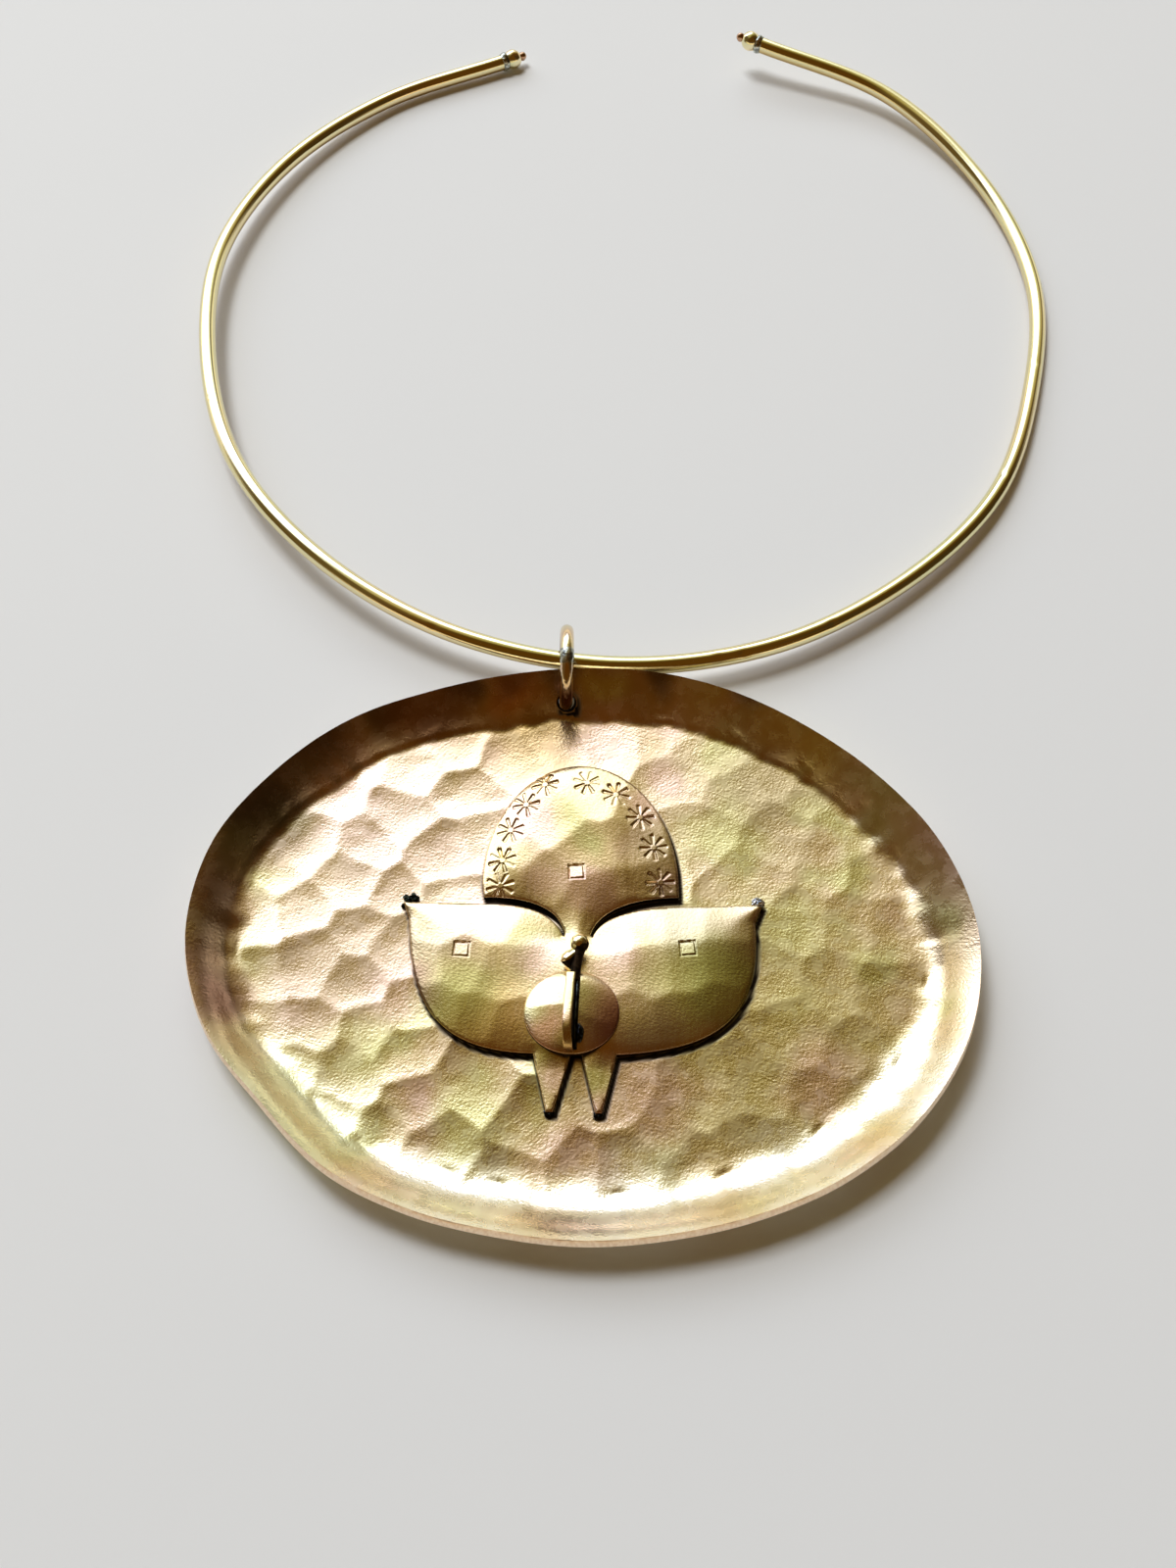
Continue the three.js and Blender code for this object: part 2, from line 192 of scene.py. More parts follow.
# Turns are degrees from north towards the east, and heights are degrees above the table.
sill = ease(tree, turn_east, -48.0, -14.0, 0.0, 14.0)
above_sill = ease(tree, maths(tree, "SUBTRACT", height, sill), 2.0, 20.0)
window_share = both(tree, above_sill, ease(tree, height, 52.0, 64.0, 1.0, 0.0))
window_share = both(tree, window_share, between(tree, turn_east, (-74.0, -50.0), (-2.0, 20.0)))
west_share = between(tree, turn_east, (-150.0, -115.0), (-70.0, -20.0))
walls = blend_colours(tree, west_share, EAST_WALL, WEST_WALL)
south_share = both(
    tree,
    ease(tree, maths(tree, "ABSOLUTE", turn_east), 110.0, 140.0),
    ease(tree, height, 14.0, 24.0),
)
walls = blend_colours(tree, south_share, walls, CEILING[0][1])
open_side = both(tree, between(tree, turn_east, (-30.0, -5.0), (60.0, 90.0)), 32.0)
over_wall = ease(tree, maths(tree, "ADD", height, open_side), 50.0, 68.0)
seen = blend_colours(tree, over_wall, walls, ceiling)
seen = blend_colours(tree, window_share, seen, WINDOW)
table_end = both(
    tree,
    between(tree, turn_east, (-92.0, -66.0), (45.0, 75.0)),
    ease(tree, height, 6.0, 24.0, 1.0, 0.0),
)
seen = blend_colours(tree, table_end, seen, TABLE_END)
low_south = both(
    tree,
    ease(tree, maths(tree, "ABSOLUTE", turn_east), 100.0, 130.0),
    ease(tree, height, 8.0, 16.0, 1.0, 0.0),
)
seen = blend_colours(tree, low_south, seen, SOUTH_WALL)
seen = blend_colours(tree, ease(tree, height, -3.0, 0.0, 1.0, 0.0), seen, BACKDROP)
spread = add_node(tree, "LightPath").outputs["Is Diffuse Ray"]
seen = blend_colours(tree, spread, seen, WARM_FILL, "MULTIPLY")
straight = add_node(tree, "LightPath").outputs["Is Camera Ray"]
seen = blend_colours(tree, straight, seen, BACKDROP)
light = add_node(tree, "Background", {"Color": seen, "Strength": 1.0})
add_node(tree, "OutputWorld", {"Surface": light.outputs[0]})
print("window", WINDOW, "turned", WINDOW_TURN, "degrees from north")

# %% [markdown]
# A slightly cool softbox high in the north-west adds to the window. It is kept out of the
# reflections, so it only lights the cloth and draws the soft shadows.

# %% Softbox
SOFTBOX_SIDE = 0.32
SOFTBOX_AWAY = 1.1
SOFTBOX_POWER = 5.4
SOFTBOX_COLOUR = (0.96, 0.99, 1.06)
SOFTBOX_TOWARDS = (-0.30, 0.45, 0.95)

softbox = bpy.data.objects.new("softbox", bpy.data.lights.new("softbox", "AREA"))
softbox.data.shape = "SQUARE"
softbox.data.size = SOFTBOX_SIDE
softbox.data.energy = SOFTBOX_POWER
softbox.data.color = SOFTBOX_COLOUR
from_table = Vector(SOFTBOX_TOWARDS).normalized()
softbox.location = from_table * SOFTBOX_AWAY
softbox.rotation_euler = from_table.to_track_quat("Z", "Y").to_euler()
softbox.visible_glossy = False
softbox.visible_camera = False
bpy.context.scene.collection.objects.link(softbox)
print("softbox", SOFTBOX_SIDE, "m wide,", SOFTBOX_POWER, "W")

# %% [markdown]
# ## Table
#
# The choker rests on a plain pale cloth. A flat matt sheet is enough: it only has to take the
# soft shadow and to be reflected in the underside of the wire.

# %% Floor
FLOOR_SIDE = 4.0
FLOOR_COLOUR = (0.82, 0.83, 0.80)

corners = [(-1, -1, 0), (1, -1, 0), (1, 1, 0), (-1, 1, 0)]
floor_mesh = bpy.data.meshes.new("floor")
floor_mesh.from_pydata([Vector(c) * FLOOR_SIDE / 2 for c in corners], [], [(0, 1, 2, 3)])
floor = bpy.data.objects.new("floor", floor_mesh)
bpy.context.scene.collection.objects.link(floor)
floor_finish = bpy.data.materials.new("pale_cloth")
floor_finish.use_nodes = True
matt = floor_finish.node_tree.nodes["Principled BSDF"]
matt.inputs["Base Color"].default_value = (*FLOOR_COLOUR, 1.0)
matt.inputs["Roughness"].default_value = 1.0
matt.inputs["Specular IOR Level"].default_value = 0.0
floor.data.materials.append(floor_finish)
print("floor side", FLOOR_SIDE, "m")

# %% [markdown]
# ## Making a piece
#
# Every piece is a mesh made from points and faces. A grid of points that goes round and round,
# closed by a fan at each end, makes most of them: the dish, the wire, the beads and the blobs
# of solder. The last step gives the piece its finish and ties it to the choker's one body.

# %% Mesh helpers
SHARP_ANGLE = math.radians(48)
CAP_ROWS = 2  # a loft lists its two end fans before its rows of faces


def loft(rings, start=None, end=None):
    """Points and faces of a closed body through rings of equally many points."""
    rings = np.asarray(rings, float)
    count, around = rings.shape[:2]
    start = rings[0].mean(axis=0) if start is None else start
    end = rings[-1].mean(axis=0) if end is None else end
    points = np.vstack([rings.reshape(-1, 3), [start], [end]])
    first, last = count * around, count * around + 1
    faces = []
    for i in range(around):
        beside = (i + 1) % around
        faces.append((first, beside, i))
        foot = (count - 1) * around
        faces.append((last, foot + i, foot + beside))
    for row in range(count - 1):
        low = row * around
        for i in range(around):
            beside = (i + 1) % around
            faces.append((low + i, low + beside, low + around + beside, low + around + i))
    return points, faces


def join_shapes(shapes):
    """Several closed shapes as the points and faces of one."""
    points, faces, shift = [], [], 0
    for shape_points, shape_faces in shapes:
        points.append(shape_points)
        faces += [tuple(corner + shift for corner in face) for face in shape_faces]
        shift += len(shape_points)
    return np.vstack(points), faces


def make_piece(name, shape, finish):
    points, faces = shape
    mesh = bpy.data.meshes.new(name)
    mesh.from_pydata((np.asarray(points) * MM).tolist(), [], faces)
    mesh.update()
    mesh.polygons.foreach_set("use_smooth", [True] * len(mesh.polygons))
    piece = bpy.data.objects.new(name, mesh)
    bpy.context.scene.collection.objects.link(piece)
    turn_outwards(mesh)
    mesh.set_sharp_from_angle(angle=SHARP_ANGLE)
    mesh.materials.append(finish)
    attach(piece, "root")
    print(f"{name}: {len(points)} points, {len(mesh.polygons)} faces")
    return piece


def paint(piece, finish, numbers):
    """Gives some of a piece's faces another finish."""
    piece.data.materials.append(finish)
    slot_number = len(piece.data.materials) - 1
    for number in numbers:
        piece.data.polygons[number].material_index = slot_number


def paint_towards(piece, finish, direction, least):
    """Gives another finish to the faces that look in one direction."""
    direction = Vector(direction).normalized()
    faces = piece.data.polygons
    paint(piece, finish, [face.index for face in faces if face.normal.dot(direction) > least])


def turn_outwards(mesh):
    work = bmesh.new()
    work.from_mesh(mesh)
    bmesh.ops.recalc_face_normals(work, faces=work.faces)
    work.to_mesh(mesh)
    work.free()


# %% [markdown]
# ## Uneven by hand
#
# Nothing on this choker is exact. Smooth noise on a coarse lattice gives slow, seeded changes of
# height: the same on each run, and as wide as its step.

# %% Slow noise
def slow_noise(x, y, step, seed):
    """Smooth noise between -1 and 1 whose bumps are about one step wide."""
    table = np.random.default_rng(seed).uniform(-1, 1, (64, 64))
    u = np.asarray(x, float) / step + 1000.0
    v = np.asarray(y, float) / step + 1000.0
    column, row = np.floor(u).astype(int), np.floor(v).astype(int)
    a, b = u - column, v - row
    a, b = a * a * (3 - 2 * a), b * b * (3 - 2 * b)
    near = table[row % 64, column % 64] * (1 - a) + table[row % 64, (column + 1) % 64] * a
    row = row + 1
    far = table[row % 64, column % 64] * (1 - a) + table[row % 64, (column + 1) % 64] * a
    return near * (1 - b) + far * b


print("noise at the origin", round(float(slow_noise(0.0, 0.0, 1.0, 1)), 3))

# %% [markdown]
# ## Finish of the dish
#
# The dish looks like hammered and annealed brass that was wiped but not buffed. Three things make
# it read as that: fine creases and pebbles in the stretched skin of the metal, patches of heat
# tarnish, and fine scratches. The skin is a bump, because it is finer than any mesh; the hammer
# marks themselves are real shape.
#
# The tarnish comes in two layers. Noise makes rosy and olive patches everywhere. Over it go
# washes: soft round spots at chosen places, bent by noise so that no circle shows. Some washes
# are painted reflection: the north and west of the rim are painted dark, for the dark room they
# reflect, with russet spots, as a flame would leave them, and the south is painted pale, for the
# window. Sawn edges get their own two finishes: clean on the rim, and black under the soldered
# bird, as painted shade.

# %% Hammered brass
GOLD = (0.84, 0.66, 0.42)
ROSE = (0.85, 0.60, 0.48)
OLIVE = (0.71, 0.65, 0.31)


def start_finish(name):
    finish = bpy.data.materials.new(name)
    finish.use_nodes = True
    shader = finish.node_tree.nodes["Principled BSDF"]
    shader.inputs["Metallic"].default_value = 1.0
    return finish, finish.node_tree, shader


def in_millimetres(tree, turn=0.0, stretch=(1.0, 1.0, 1.0)):
    """The place on the object in millimetres, turned and then stretched."""
    place = add_node(tree, "TexCoord").outputs["Object"]
    turned = add_node(
        tree,
        "VectorRotate",
        {"Vector": place, "Angle": math.radians(turn)},
        rotation_type="Z_AXIS",
    )
    scale = [1000.0 * part for part in stretch]
    scaled = add_node(tree, "Mapping", {"Vector": turned.outputs[0], "Scale": scale})
    return scaled.outputs[0]


def noise(tree, place, scale, detail=2.0, warp=0.0):
    wires = {"Vector": place, "Scale": scale, "Detail": detail, "Distortion": warp}
    return add_node(tree, "TexNoise", wires).outputs["Fac"]


def raise_skin(tree, shader, height, depth):
    """A bump whose full height is this many millimetres."""
    wires = {"Height": height, "Distance": depth * MM, "Strength": 1.0}
    tree.links.new(add_node(tree, "Bump", wires).outputs[0], shader.inputs["Normal"])


def creases(tree):
    """Fine creases in the skin of the metal, in two directions that trade places."""
    slanted = noise(tree, in_millimetres(tree, -38.0, (1.1, 2.9, 1.0)), 1.0, 2.0, 0.5)
    level = noise(tree, in_millimetres(tree, 8.0, (1.1, 2.9, 1.0)), 1.0, 2.0, 0.5)
    where = ease(tree, noise(tree, in_millimetres(tree), 0.06), 0.42, 0.58)
    mixed = add_node(tree, "Mix", {0: where, 2: slanted, 3: level}, data_type="FLOAT")
    return mixed.outputs[0]


def rubbed_lines(tree, turn, patch_turn):
    """Fine parallel scratches that show only in patches."""
    lines = noise(tree, in_millimetres(tree, turn, (0.12, 4.5, 1.0)), 1.0, 2.0)
    patch = noise(tree, in_millimetres(tree, turn + patch_turn), 0.09)
    return both(tree, lines, ease(tree, patch, 0.54, 0.62))


def tarnish(tree, scale, gold=GOLD, rose=ROSE, olive=OLIVE):
    patches = noise(tree, in_millimetres(tree), scale, 0.5)
    colour = blend_colours(tree, ease(tree, patches, 0.50, 0.75), gold, rose)
    return blend_colours(tree, ease(tree, patches, 0.50, 0.25), colour, olive)


def washes(tree, colour, spots, wander=5.0):
    """Soft round patches at chosen places, laid over each other in their order: tarnish, and also
    painted reflection and shade.
    """
    wires = {"Vector": in_millimetres(tree), "Scale": 0.17, "Detail": 0.3}
    bend = add_node(tree, "TexNoise", wires).outputs["Color"]
    offset = add_node(tree, "VectorMath", {0: bend, "Scale": wander}, operation="SCALE")
    place = add_node(tree, "VectorMath", {0: in_millimetres(tree), 1: offset.outputs[0]})
    level = add_node(tree, "VectorMath", {0: place.outputs[0], 1: (1, 1, 0)}, operation="MULTIPLY")
    for x, y, reach, tint in spots:
        centre = (x + wander / 2, y + wander / 2, 0.0)
        away = add_node(tree, "VectorMath", {0: level.outputs[0], 1: centre}, operation="DISTANCE")
        share = ease(tree, away.outputs["Value"], reach, 0.2 * reach, 0.0, 0.85)
        colour = blend_colours(tree, share, colour, tint)
    return colour


UMBER = (0.50, 0.33, 0.14)
PAINTED_DARK_REFLECTION = (0.12, 0.08, 0.06)
PAINTED_DIM_REFLECTION = (0.30, 0.17, 0.11)
MAROON = (0.38, 0.21, 0.17)
CLAY = (0.52, 0.34, 0.26)
RUSSET = (1.0, 0.52, 0.18)
HONEY = (0.76, 0.66, 0.26)
MUSTARD = (0.74, 0.66, 0.24)
KHAKI = (0.92, 0.76, 0.26)
STRAW = (0.76, 0.65, 0.32)
BARK = (0.53, 0.42, 0.23)
TAN = (0.80, 0.60, 0.44)
FAWN = (0.69, 0.52, 0.37)
PEACH = (0.73, 0.55, 0.42)
LIME = (0.98, 0.95, 0.62)
CREAM = (1.0, 0.94, 0.76)
# Umber, the two painted reflection browns, maroon and clay on the north and west rim are painted dark
# reflection; cream and lime in the south are painted pale reflection.
DISH_TARNISH_AND_PAINTED_REFLECTION = [  # x, y, reach, colour
    (-22.0, 14.0, 28.0, TAN), (24.0, -14.0, 26.0, STRAW), (-4.0, 38.0, 24.0, UMBER),
    (-9.0, 37.0, 5.5, RUSSET), (18.0, 36.0, 5.0, HONEY), (27.0, 31.0, 4.0, KHAKI),
    (-25.0, 33.0, 4.0, RUSSET), (3.0, 37.0, 4.0, MUSTARD), (-2.0, 39.5, 4.0, PAINTED_DARK_REFLECTION),
    (11.0, 39.0, 4.5, PAINTED_DARK_REFLECTION), (-17.0, 37.0, 4.5, PAINTED_DARK_REFLECTION), (23.0, 35.5, 4.0, PAINTED_DARK_REFLECTION),
    (33.0, 32.0, 6.0, PAINTED_DARK_REFLECTION), (-46.0, -8.0, 6.0, MAROON), (-44.5, 20.0, 13.0, PAINTED_DARK_REFLECTION),
    (-36.5, 29.0, 8.0, PAINTED_DARK_REFLECTION), (-50.0, 6.0, 9.0, CLAY), (-51.0, -3.0, 7.0, MAROON),
    (-36.0, -24.0, 16.0, LIME), (23.0, 22.0, 14.0, BARK), (-27.0, 34.0, 8.0, PAINTED_DARK_REFLECTION),
    (-9.0, 39.0, 6.0, PAINTED_DIM_REFLECTION), (-16.0, -35.0, 14.0, CREAM), (6.0, -37.0, 14.0, CREAM),
    (27.0, -31.0, 12.0, CREAM), (41.0, -20.0, 9.0, CREAM), (32.0, 28.0, 7.0, KHAKI),
    (-24.0, -5.0, 6.0, ROSE), (8.0, -20.0, 9.0, ROSE), (-2.0, -27.0, 6.0, ROSE),
    (3.0, 30.0, 7.0, ROSE), (-30.0, 20.0, 8.0, ROSE), (26.0, 2.0, 9.0, OLIVE),
    (18.0, 14.0, 8.0, OLIVE), (-14.0, -24.0, 8.0, OLIVE), (30.0, -18.0, 8.0, ROSE),
    (-28.0, -14.0, 7.0, OLIVE), (-33.0, -2.0, 15.0, FAWN), (-28.0, 17.0, 12.0, PEACH),
    (-20.0, 33.0, 7.0, PAINTED_DIM_REFLECTION),
]
PAINTED_SHADOW_COLOUR = (0.02, 0.013, 0.008)
SKIN_DEPTH = 0.032

hammered, tree, shader = start_finish("hammered_brass")
painted_shadow = add_node(tree, "Attribute", attribute_name="painted_shadow").outputs["Fac"]
colour = washes(tree, tarnish(tree, 0.13), DISH_TARNISH_AND_PAINTED_REFLECTION)
# Painted shadow: the base colour turns near-black round the bird and the hole.
tree.links.new(blend_colours(tree, painted_shadow, colour, PAINTED_SHADOW_COLOUR), shader.inputs["Base Color"])
pebbles = noise(tree, in_millimetres(tree), 3.0, 1.0)
folds = both(tree, creases(tree), 0.6)
skin = maths(tree, "ADD", folds, both(tree, rubbed_lines(tree, 20.0, 50.0), 0.6))
skin = maths(tree, "ADD", skin, both(tree, pebbles, 0.9))
raise_skin(tree, shader, skin, SKIN_DEPTH)
rough = ease(tree, noise(tree, in_millimetres(tree), 0.5), 0.35, 0.65, 0.22, 0.30)
rough = maths(tree, "ADD", rough, both(tree, painted_shadow, 0.35))
tree.links.new(rough, shader.inputs["Roughness"])


def edge_finish(name, light_tone, dark_tone, roughness, metal=1.0):
    """A sawn edge, with the short upright strokes of the saw."""
    finish, tree, shader = start_finish(name)
    strokes = noise(tree, in_millimetres(tree, 0.0, (2.5, 2.5, 0.8)), 1.0, 3.0)
    colour = blend_colours(tree, ease(tree, strokes, 0.35, 0.65), light_tone, dark_tone)
    tree.links.new(colour, shader.inputs["Base Color"])
    shader.inputs["Metallic"].default_value = metal
    shader.inputs["Roughness"].default_value = roughness
    return finish


sawn = edge_finish("sawn_edge", (0.95, 0.78, 0.58), (0.84, 0.64, 0.44), 0.36, 0.92)
# A near-black edge finish used as painted shade on walls and slopes that face away from the light.
painted_shade = edge_finish("painted_shade_edge", (0.04, 0.024, 0.012), (0.014, 0.01, 0.006), 0.6)
print("finishes:", hammered.name, sawn.name, painted_shade.name)

# %% [markdown]
# ## The dish: outline and section
#
# The oval is uneven, as a hand-cut one is, so its reach is given every 15 degrees and a smooth
# closed curve is drawn through those points. The rim turns up at 45 degrees with a rounded foot,
# as it would over a stake. Its section is worked out from how far a point lies in from the edge,
# for the face and for the back. The foot can be tighter or rounder, and the lip rolled outwards.

# %% Dish outline and section
PLATE_SHEET = 1.1
RIM_ANGLE = math.radians(45)
RIM_FILLET = 7.0
RIM_STRAIGHT = 3.8
RIM_EASE = 0.03
PLATE_REACH = [  # from the middle to the rim's edge, every 15 degrees from the east
    50.3, 48.4, 45.3, 42.7, 41.1, 40.0, 39.3, 39.6, 41.2, 44.3, 47.3, 50.2,
    50.6, 48.7, 45.1, 43.4, 41.1, 39.5, 39.3, 39.9, 41.8, 44.7, 47.8, 50.0,
]
BACK_FILLET = RIM_FILLET + PLATE_SHEET
FLOOR_INSET = BACK_FILLET * math.sin(RIM_ANGLE) + RIM_STRAIGHT * math.cos(RIM_ANGLE)


def smooth_curve(points, spans_cut, closed=False):
    """Points along a centripetal curve through the given ones, so many to each span."""
    points = np.asarray(points, float)
    count = len(points)
    spans = count if closed else count - 1

    def at(i):
        if closed:
            return points[i % count]
        if i < 0:
            return 2 * points[0] - points[1]
        if i >= count:
            return 2 * points[-1] - points[-2]
        return points[i]

    made = []
    for span in range(spans):
        p0, p1, p2, p3 = at(span - 1), at(span), at(span + 1), at(span + 2)
        d0, d1, d2 = [np.linalg.norm(b - a) ** 0.5 for a, b in ((p0, p1), (p1, p2), (p2, p3))]
        leave = ((p1 - p0) / d0 - (p2 - p0) / (d0 + d1) + (p2 - p1) / d1) * d1
        arrive = ((p2 - p1) / d1 - (p3 - p1) / (d1 + d2) + (p3 - p2) / d2) * d1
        for t in np.arange(spans_cut) / spans_cut:
            made.append(
                p1
                + leave * t
                + (-3 * p1 + 3 * p2 - 2 * leave - arrive) * t**2
                + (2 * p1 - 2 * p2 + leave + arrive) * t**3
            )
    if not closed:
        made.append(points[-1])
    return np.array(made)


def rim_reach(turn):
    """How far the rim's outer edge is from the middle, at these turns."""
    steps = np.arange(len(PLATE_REACH)) * 2 * np.pi / len(PLATE_REACH)
    points = np.c_[np.cos(steps), np.sin(steps)] * np.array(PLATE_REACH)[:, None]
    curve = smooth_curve(points, 40, closed=True)
    angle = np.arctan2(curve[:, 1], curve[:, 0])
    return np.interp(turn, angle, np.hypot(*curve.T), period=2 * np.pi)


def section(inset, fillet, lift, tighter=0.0, rolled=RIM_EASE):
    """Height of the face or the back, from the distance in from the rim's outer edge."""
    foot = FLOOR_INSET - tighter * math.tan(RIM_ANGLE / 2)
    fillet = fillet - tighter
    run = np.clip(foot - inset, 0, fillet * math.sin(RIM_ANGLE))
    curved = lift + fillet - np.sqrt(fillet**2 - run**2)
    straight = np.clip(foot - fillet * math.sin(RIM_ANGLE) - inset, 0, None)
    return curved + straight * math.tan(RIM_ANGLE) - rolled * straight**2


print("floor starts", round(FLOOR_INSET, 3), "mm in from the edge")

# %% [markdown]
# ## The dish: hammer marks
#
# A ball-faced hammer leaves a shallow round bowl at each blow, and where two bowls meet a low
# ridge stands up. So the floor is the lowest of many bowls at every place, taken with a soft
# minimum that rounds the ridges a little. The blows are listed: close and deep on the
# left, wider and weaker on the right.

# %% Hammer marks
BOWL_RADIUS = 38.0
BOWL_DEPTH = 0.09
BLOW_UNEVEN = 0.055
BLOW_STRENGTH = {"x": [-14, 8, 30], "share": [0.95, 0.42, 0.34]}
RIDGE_SOFTNESS = 0.013
NICK = {"depth": 0.14, "across": 0.45, "along": 1.1}
BLOWS = [  # x, y
    (-23.5, 25.5), (-17.5, 30.0), (-10.0, 27.5), (-29.5, 27.5), (-24.5, 18.6), (-15.5, 21.5),
    (-33.0, 21.5), (-36.5, 14.6), (-19.4, 12.4), (-13.8, 15.6), (-28.5, 15.0), (-40.2, 10.6),
    (-31.2, 9.2), (-25.0, 7.4), (-18.0, 7.0), (-36.0, 5.8), (-43.6, 4.4), (-28.2, 1.8),
    (-34.6, -2.8), (-24.0, -0.4), (-41.4, -5.6), (-28.8, -5.6), (-33.6, -10.6), (-40.0, -11.4),
    (-27.0, -11.4), (-22.0, -7.4), (-37.6, -17.4), (-31.0, -22.6), (-22.0, -14.6),
    (-29.4, -17.0), (-20.6, -22.0), (-14.0, -18.4), (-25.0, -26.4), (-17.6, -27.6),
    (-9.6, -30.2), (-7.0, -24.0), (-1.6, -29.8), (-4.0, 31.0), (3.6, 31.6), (10.6, 32.6),
    (17.0, 28.0), (22.4, 31.4), (13.6, 24.2), (27.0, 26.2), (20.4, 21.6), (32.4, 22.8),
    (16.4, 16.0), (25.4, 15.6), (36.6, 17.2), (31.0, 10.8), (22.6, 9.2), (39.6, 9.4),
    (28.0, 3.6), (35.6, 2.4), (41.6, 1.6), (25.0, -4.0), (32.4, -4.8), (39.4, -7.4),
    (27.0, -12.0), (34.6, -13.8), (22.4, -18.4), (28.6, -20.4), (36.6, -20.0), (15.4, -20.6),
    (20.6, -26.6), (9.4, -24.6), (13.4, -29.4), (5.4, -29.4), (3.6, -20.0), (-8.0, -10.0),
    (8.0, 0.0), (-6.0, 8.0), (8.0, 12.0), (12.0, -9.0),
]
NICKS = [  # x, y
    (-20.8, 31.0), (-13.6, 34.4), (0.8, 34.6), (11.0, 33.2), (21.0, 30.8), (30.6, 25.4),
    (37.6, 19.4), (40.0, 14.8), (41.6, 12.2), (44.0, -5.6), (39.2, -16.4), (28.8, -24.6),
    (17.0, -30.0), (4.4, -32.2), (-10.0, -31.0), (-16.0, -29.6), (-27.0, -26.2), (-33.0, -20.8),
    (-39.6, 19.2), (-44.8, 9.4), (-44.6, -0.6),
]


def soft_minimum(heights, softness):
    return -softness * np.log(np.exp(-heights / softness).sum(axis=-1))


def hammered_height(x, y):
    """Height that the hammer leaves on the floor, with the ridges near zero."""
    total = np.empty(x.size)
    places = np.array(BLOWS)
    depth = BLOW_UNEVEN * np.random.default_rng(5).uniform(-1, 1, len(BLOWS))
    x, y = (
        x + slow_noise(x, y, 5.5, 6) + 0.15 * slow_noise(x, y, 1.6, 8),
        y + slow_noise(x, y, 5.5, 7) + 0.15 * slow_noise(x, y, 1.6, 9),
    )
    for part in np.array_split(np.arange(x.size), 40):
        apart = np.hypot(x.flat[part][:, None] - places[:, 0], y.flat[part][:, None] - places[:, 1])
        total[part] = soft_minimum(apart**2 / (2 * BOWL_RADIUS) + depth, RIDGE_SOFTNESS)
    total = total.reshape(x.shape) - BOWL_DEPTH
    strength = np.interp(x, BLOW_STRENGTH["x"], BLOW_STRENGTH["share"])
    return total * strength + 0.03 * slow_noise(x, y, 11.0, 2) + 0.012 * slow_noise(x, y, 2.6, 3)


def nick_height(x, y):
    """Small cuts at the foot of the rim, as the edge of a hammer leaves."""
    total = np.zeros(x.shape)
    for across, up in NICKS:
        turn = math.atan2(up, across)
        out = (x - across) * math.cos(turn) + (y - up) * math.sin(turn)
        along = (y - up) * math.cos(turn) - (x - across) * math.sin(turn)
        dip = np.exp(-((out / NICK["across"]) ** 2) - (along / NICK["along"]) ** 2)
        total -= NICK["depth"] * dip
    return total


print(len(BLOWS), "blows and", len(NICKS), "nicks")

# %% [markdown]
# ## The peacock: outline
#
# The fan tail, both wings and both legs are sawn from one sheet. The outline goes anticlockwise
# from the right side of the fan's root: round the fan, down the left wing, the two legs, and up
# the right wing. Straight cuts and smooth curves take turns, as a saw moves.

# %% Peacock outline
def curve_between(start, lean_out, lean_in, end, steps=16):
    """A smooth cut from start to end that leaves and arrives along the two leans."""
    p0, p1, p2, p3 = [np.array(p, float) for p in (start, lean_out, lean_in, end)]
    t = np.linspace(0, 1, steps + 1)[1:, None]
    return (1 - t) ** 3 * p0 + 3 * (1 - t) ** 2 * t * p1 + 3 * (1 - t) * t**2 * p2 + t**3 * p3


def peacock_outline():
    fan_turn = np.linspace(0, np.pi, 61)
    fan = np.c_[-0.3 + 12.9 * np.cos(fan_turn), 8.0 + 17.7 * np.sin(fan_turn)]
    cuts = [
        [(1.0, 0.7)],
        curve_between((1.0, 0.7), (1.9, 3.9), (6.0, 6.0), (12.6, 6.0)),
        fan,
        [(-12.9, 6.1)],
        curve_between((-12.9, 6.1), (-6.4, 6.2), (-2.9, 4.2), (-2.3, 0.9)),
        [(-2.55, 0.7)],
        curve_between((-2.55, 0.7), (-4.0, 4.2), (-7.5, 5.2), (-13.1, 5.2)),
        [(-23.4, 5.5), (-22.6, 3.2)],
        curve_between((-22.6, 3.2), (-21.8, -7.5), (-19.5, -14.8), (-6.2, -15.1), 30),
        [(-4.5, -22.5), (-3.6, -22.5), (-1.4, -15.0)],
        [(-0.2, -15.0), (1.6, -22.7), (2.4, -22.7), (4.3, -15.3)],
        curve_between((4.3, -15.3), (17.5, -14.6), (22.6, -10.5), (22.4, 2.4), 30),
        [(23.5, 5.0), (15.6, 4.8)],
        curve_between((15.6, 4.8), (7.0, 4.8), (2.5, 3.6), (1.25, 0.5)),
    ]
    return np.vstack([np.asarray(cut, float) for cut in cuts])


def even_steps(outline, step):
    """The same closed outline with a point about every step, and all its corners kept."""
    made = []
    for start, end in zip(outline, np.roll(outline, -1, axis=0)):
        cuts = max(1, round(float(np.linalg.norm(end - start)) / step))
        made += [start + (end - start) * i / cuts for i in range(cuts)]
    return np.array(made)


OUTLINE_STEP = 0.24
outline = even_steps(peacock_outline(), OUTLINE_STEP)
print("outline has", len(outline), "points")

# %% [markdown]
# ## Painted shadow round the bird
#
# The dish is painted black close to the bird, mostly below it and to its right: a painted shadow,
# cast away from the light in the north-west. How dark each point of the dish is comes from its
# distance to the bird's outline. The outline is moved down and to the right in a few steps, and
# the nearest one counts, so the painted shadow has no gap. It is kept on the mesh for the finish
# to use. A painted shadow round the jump ring's hole is made the same way.

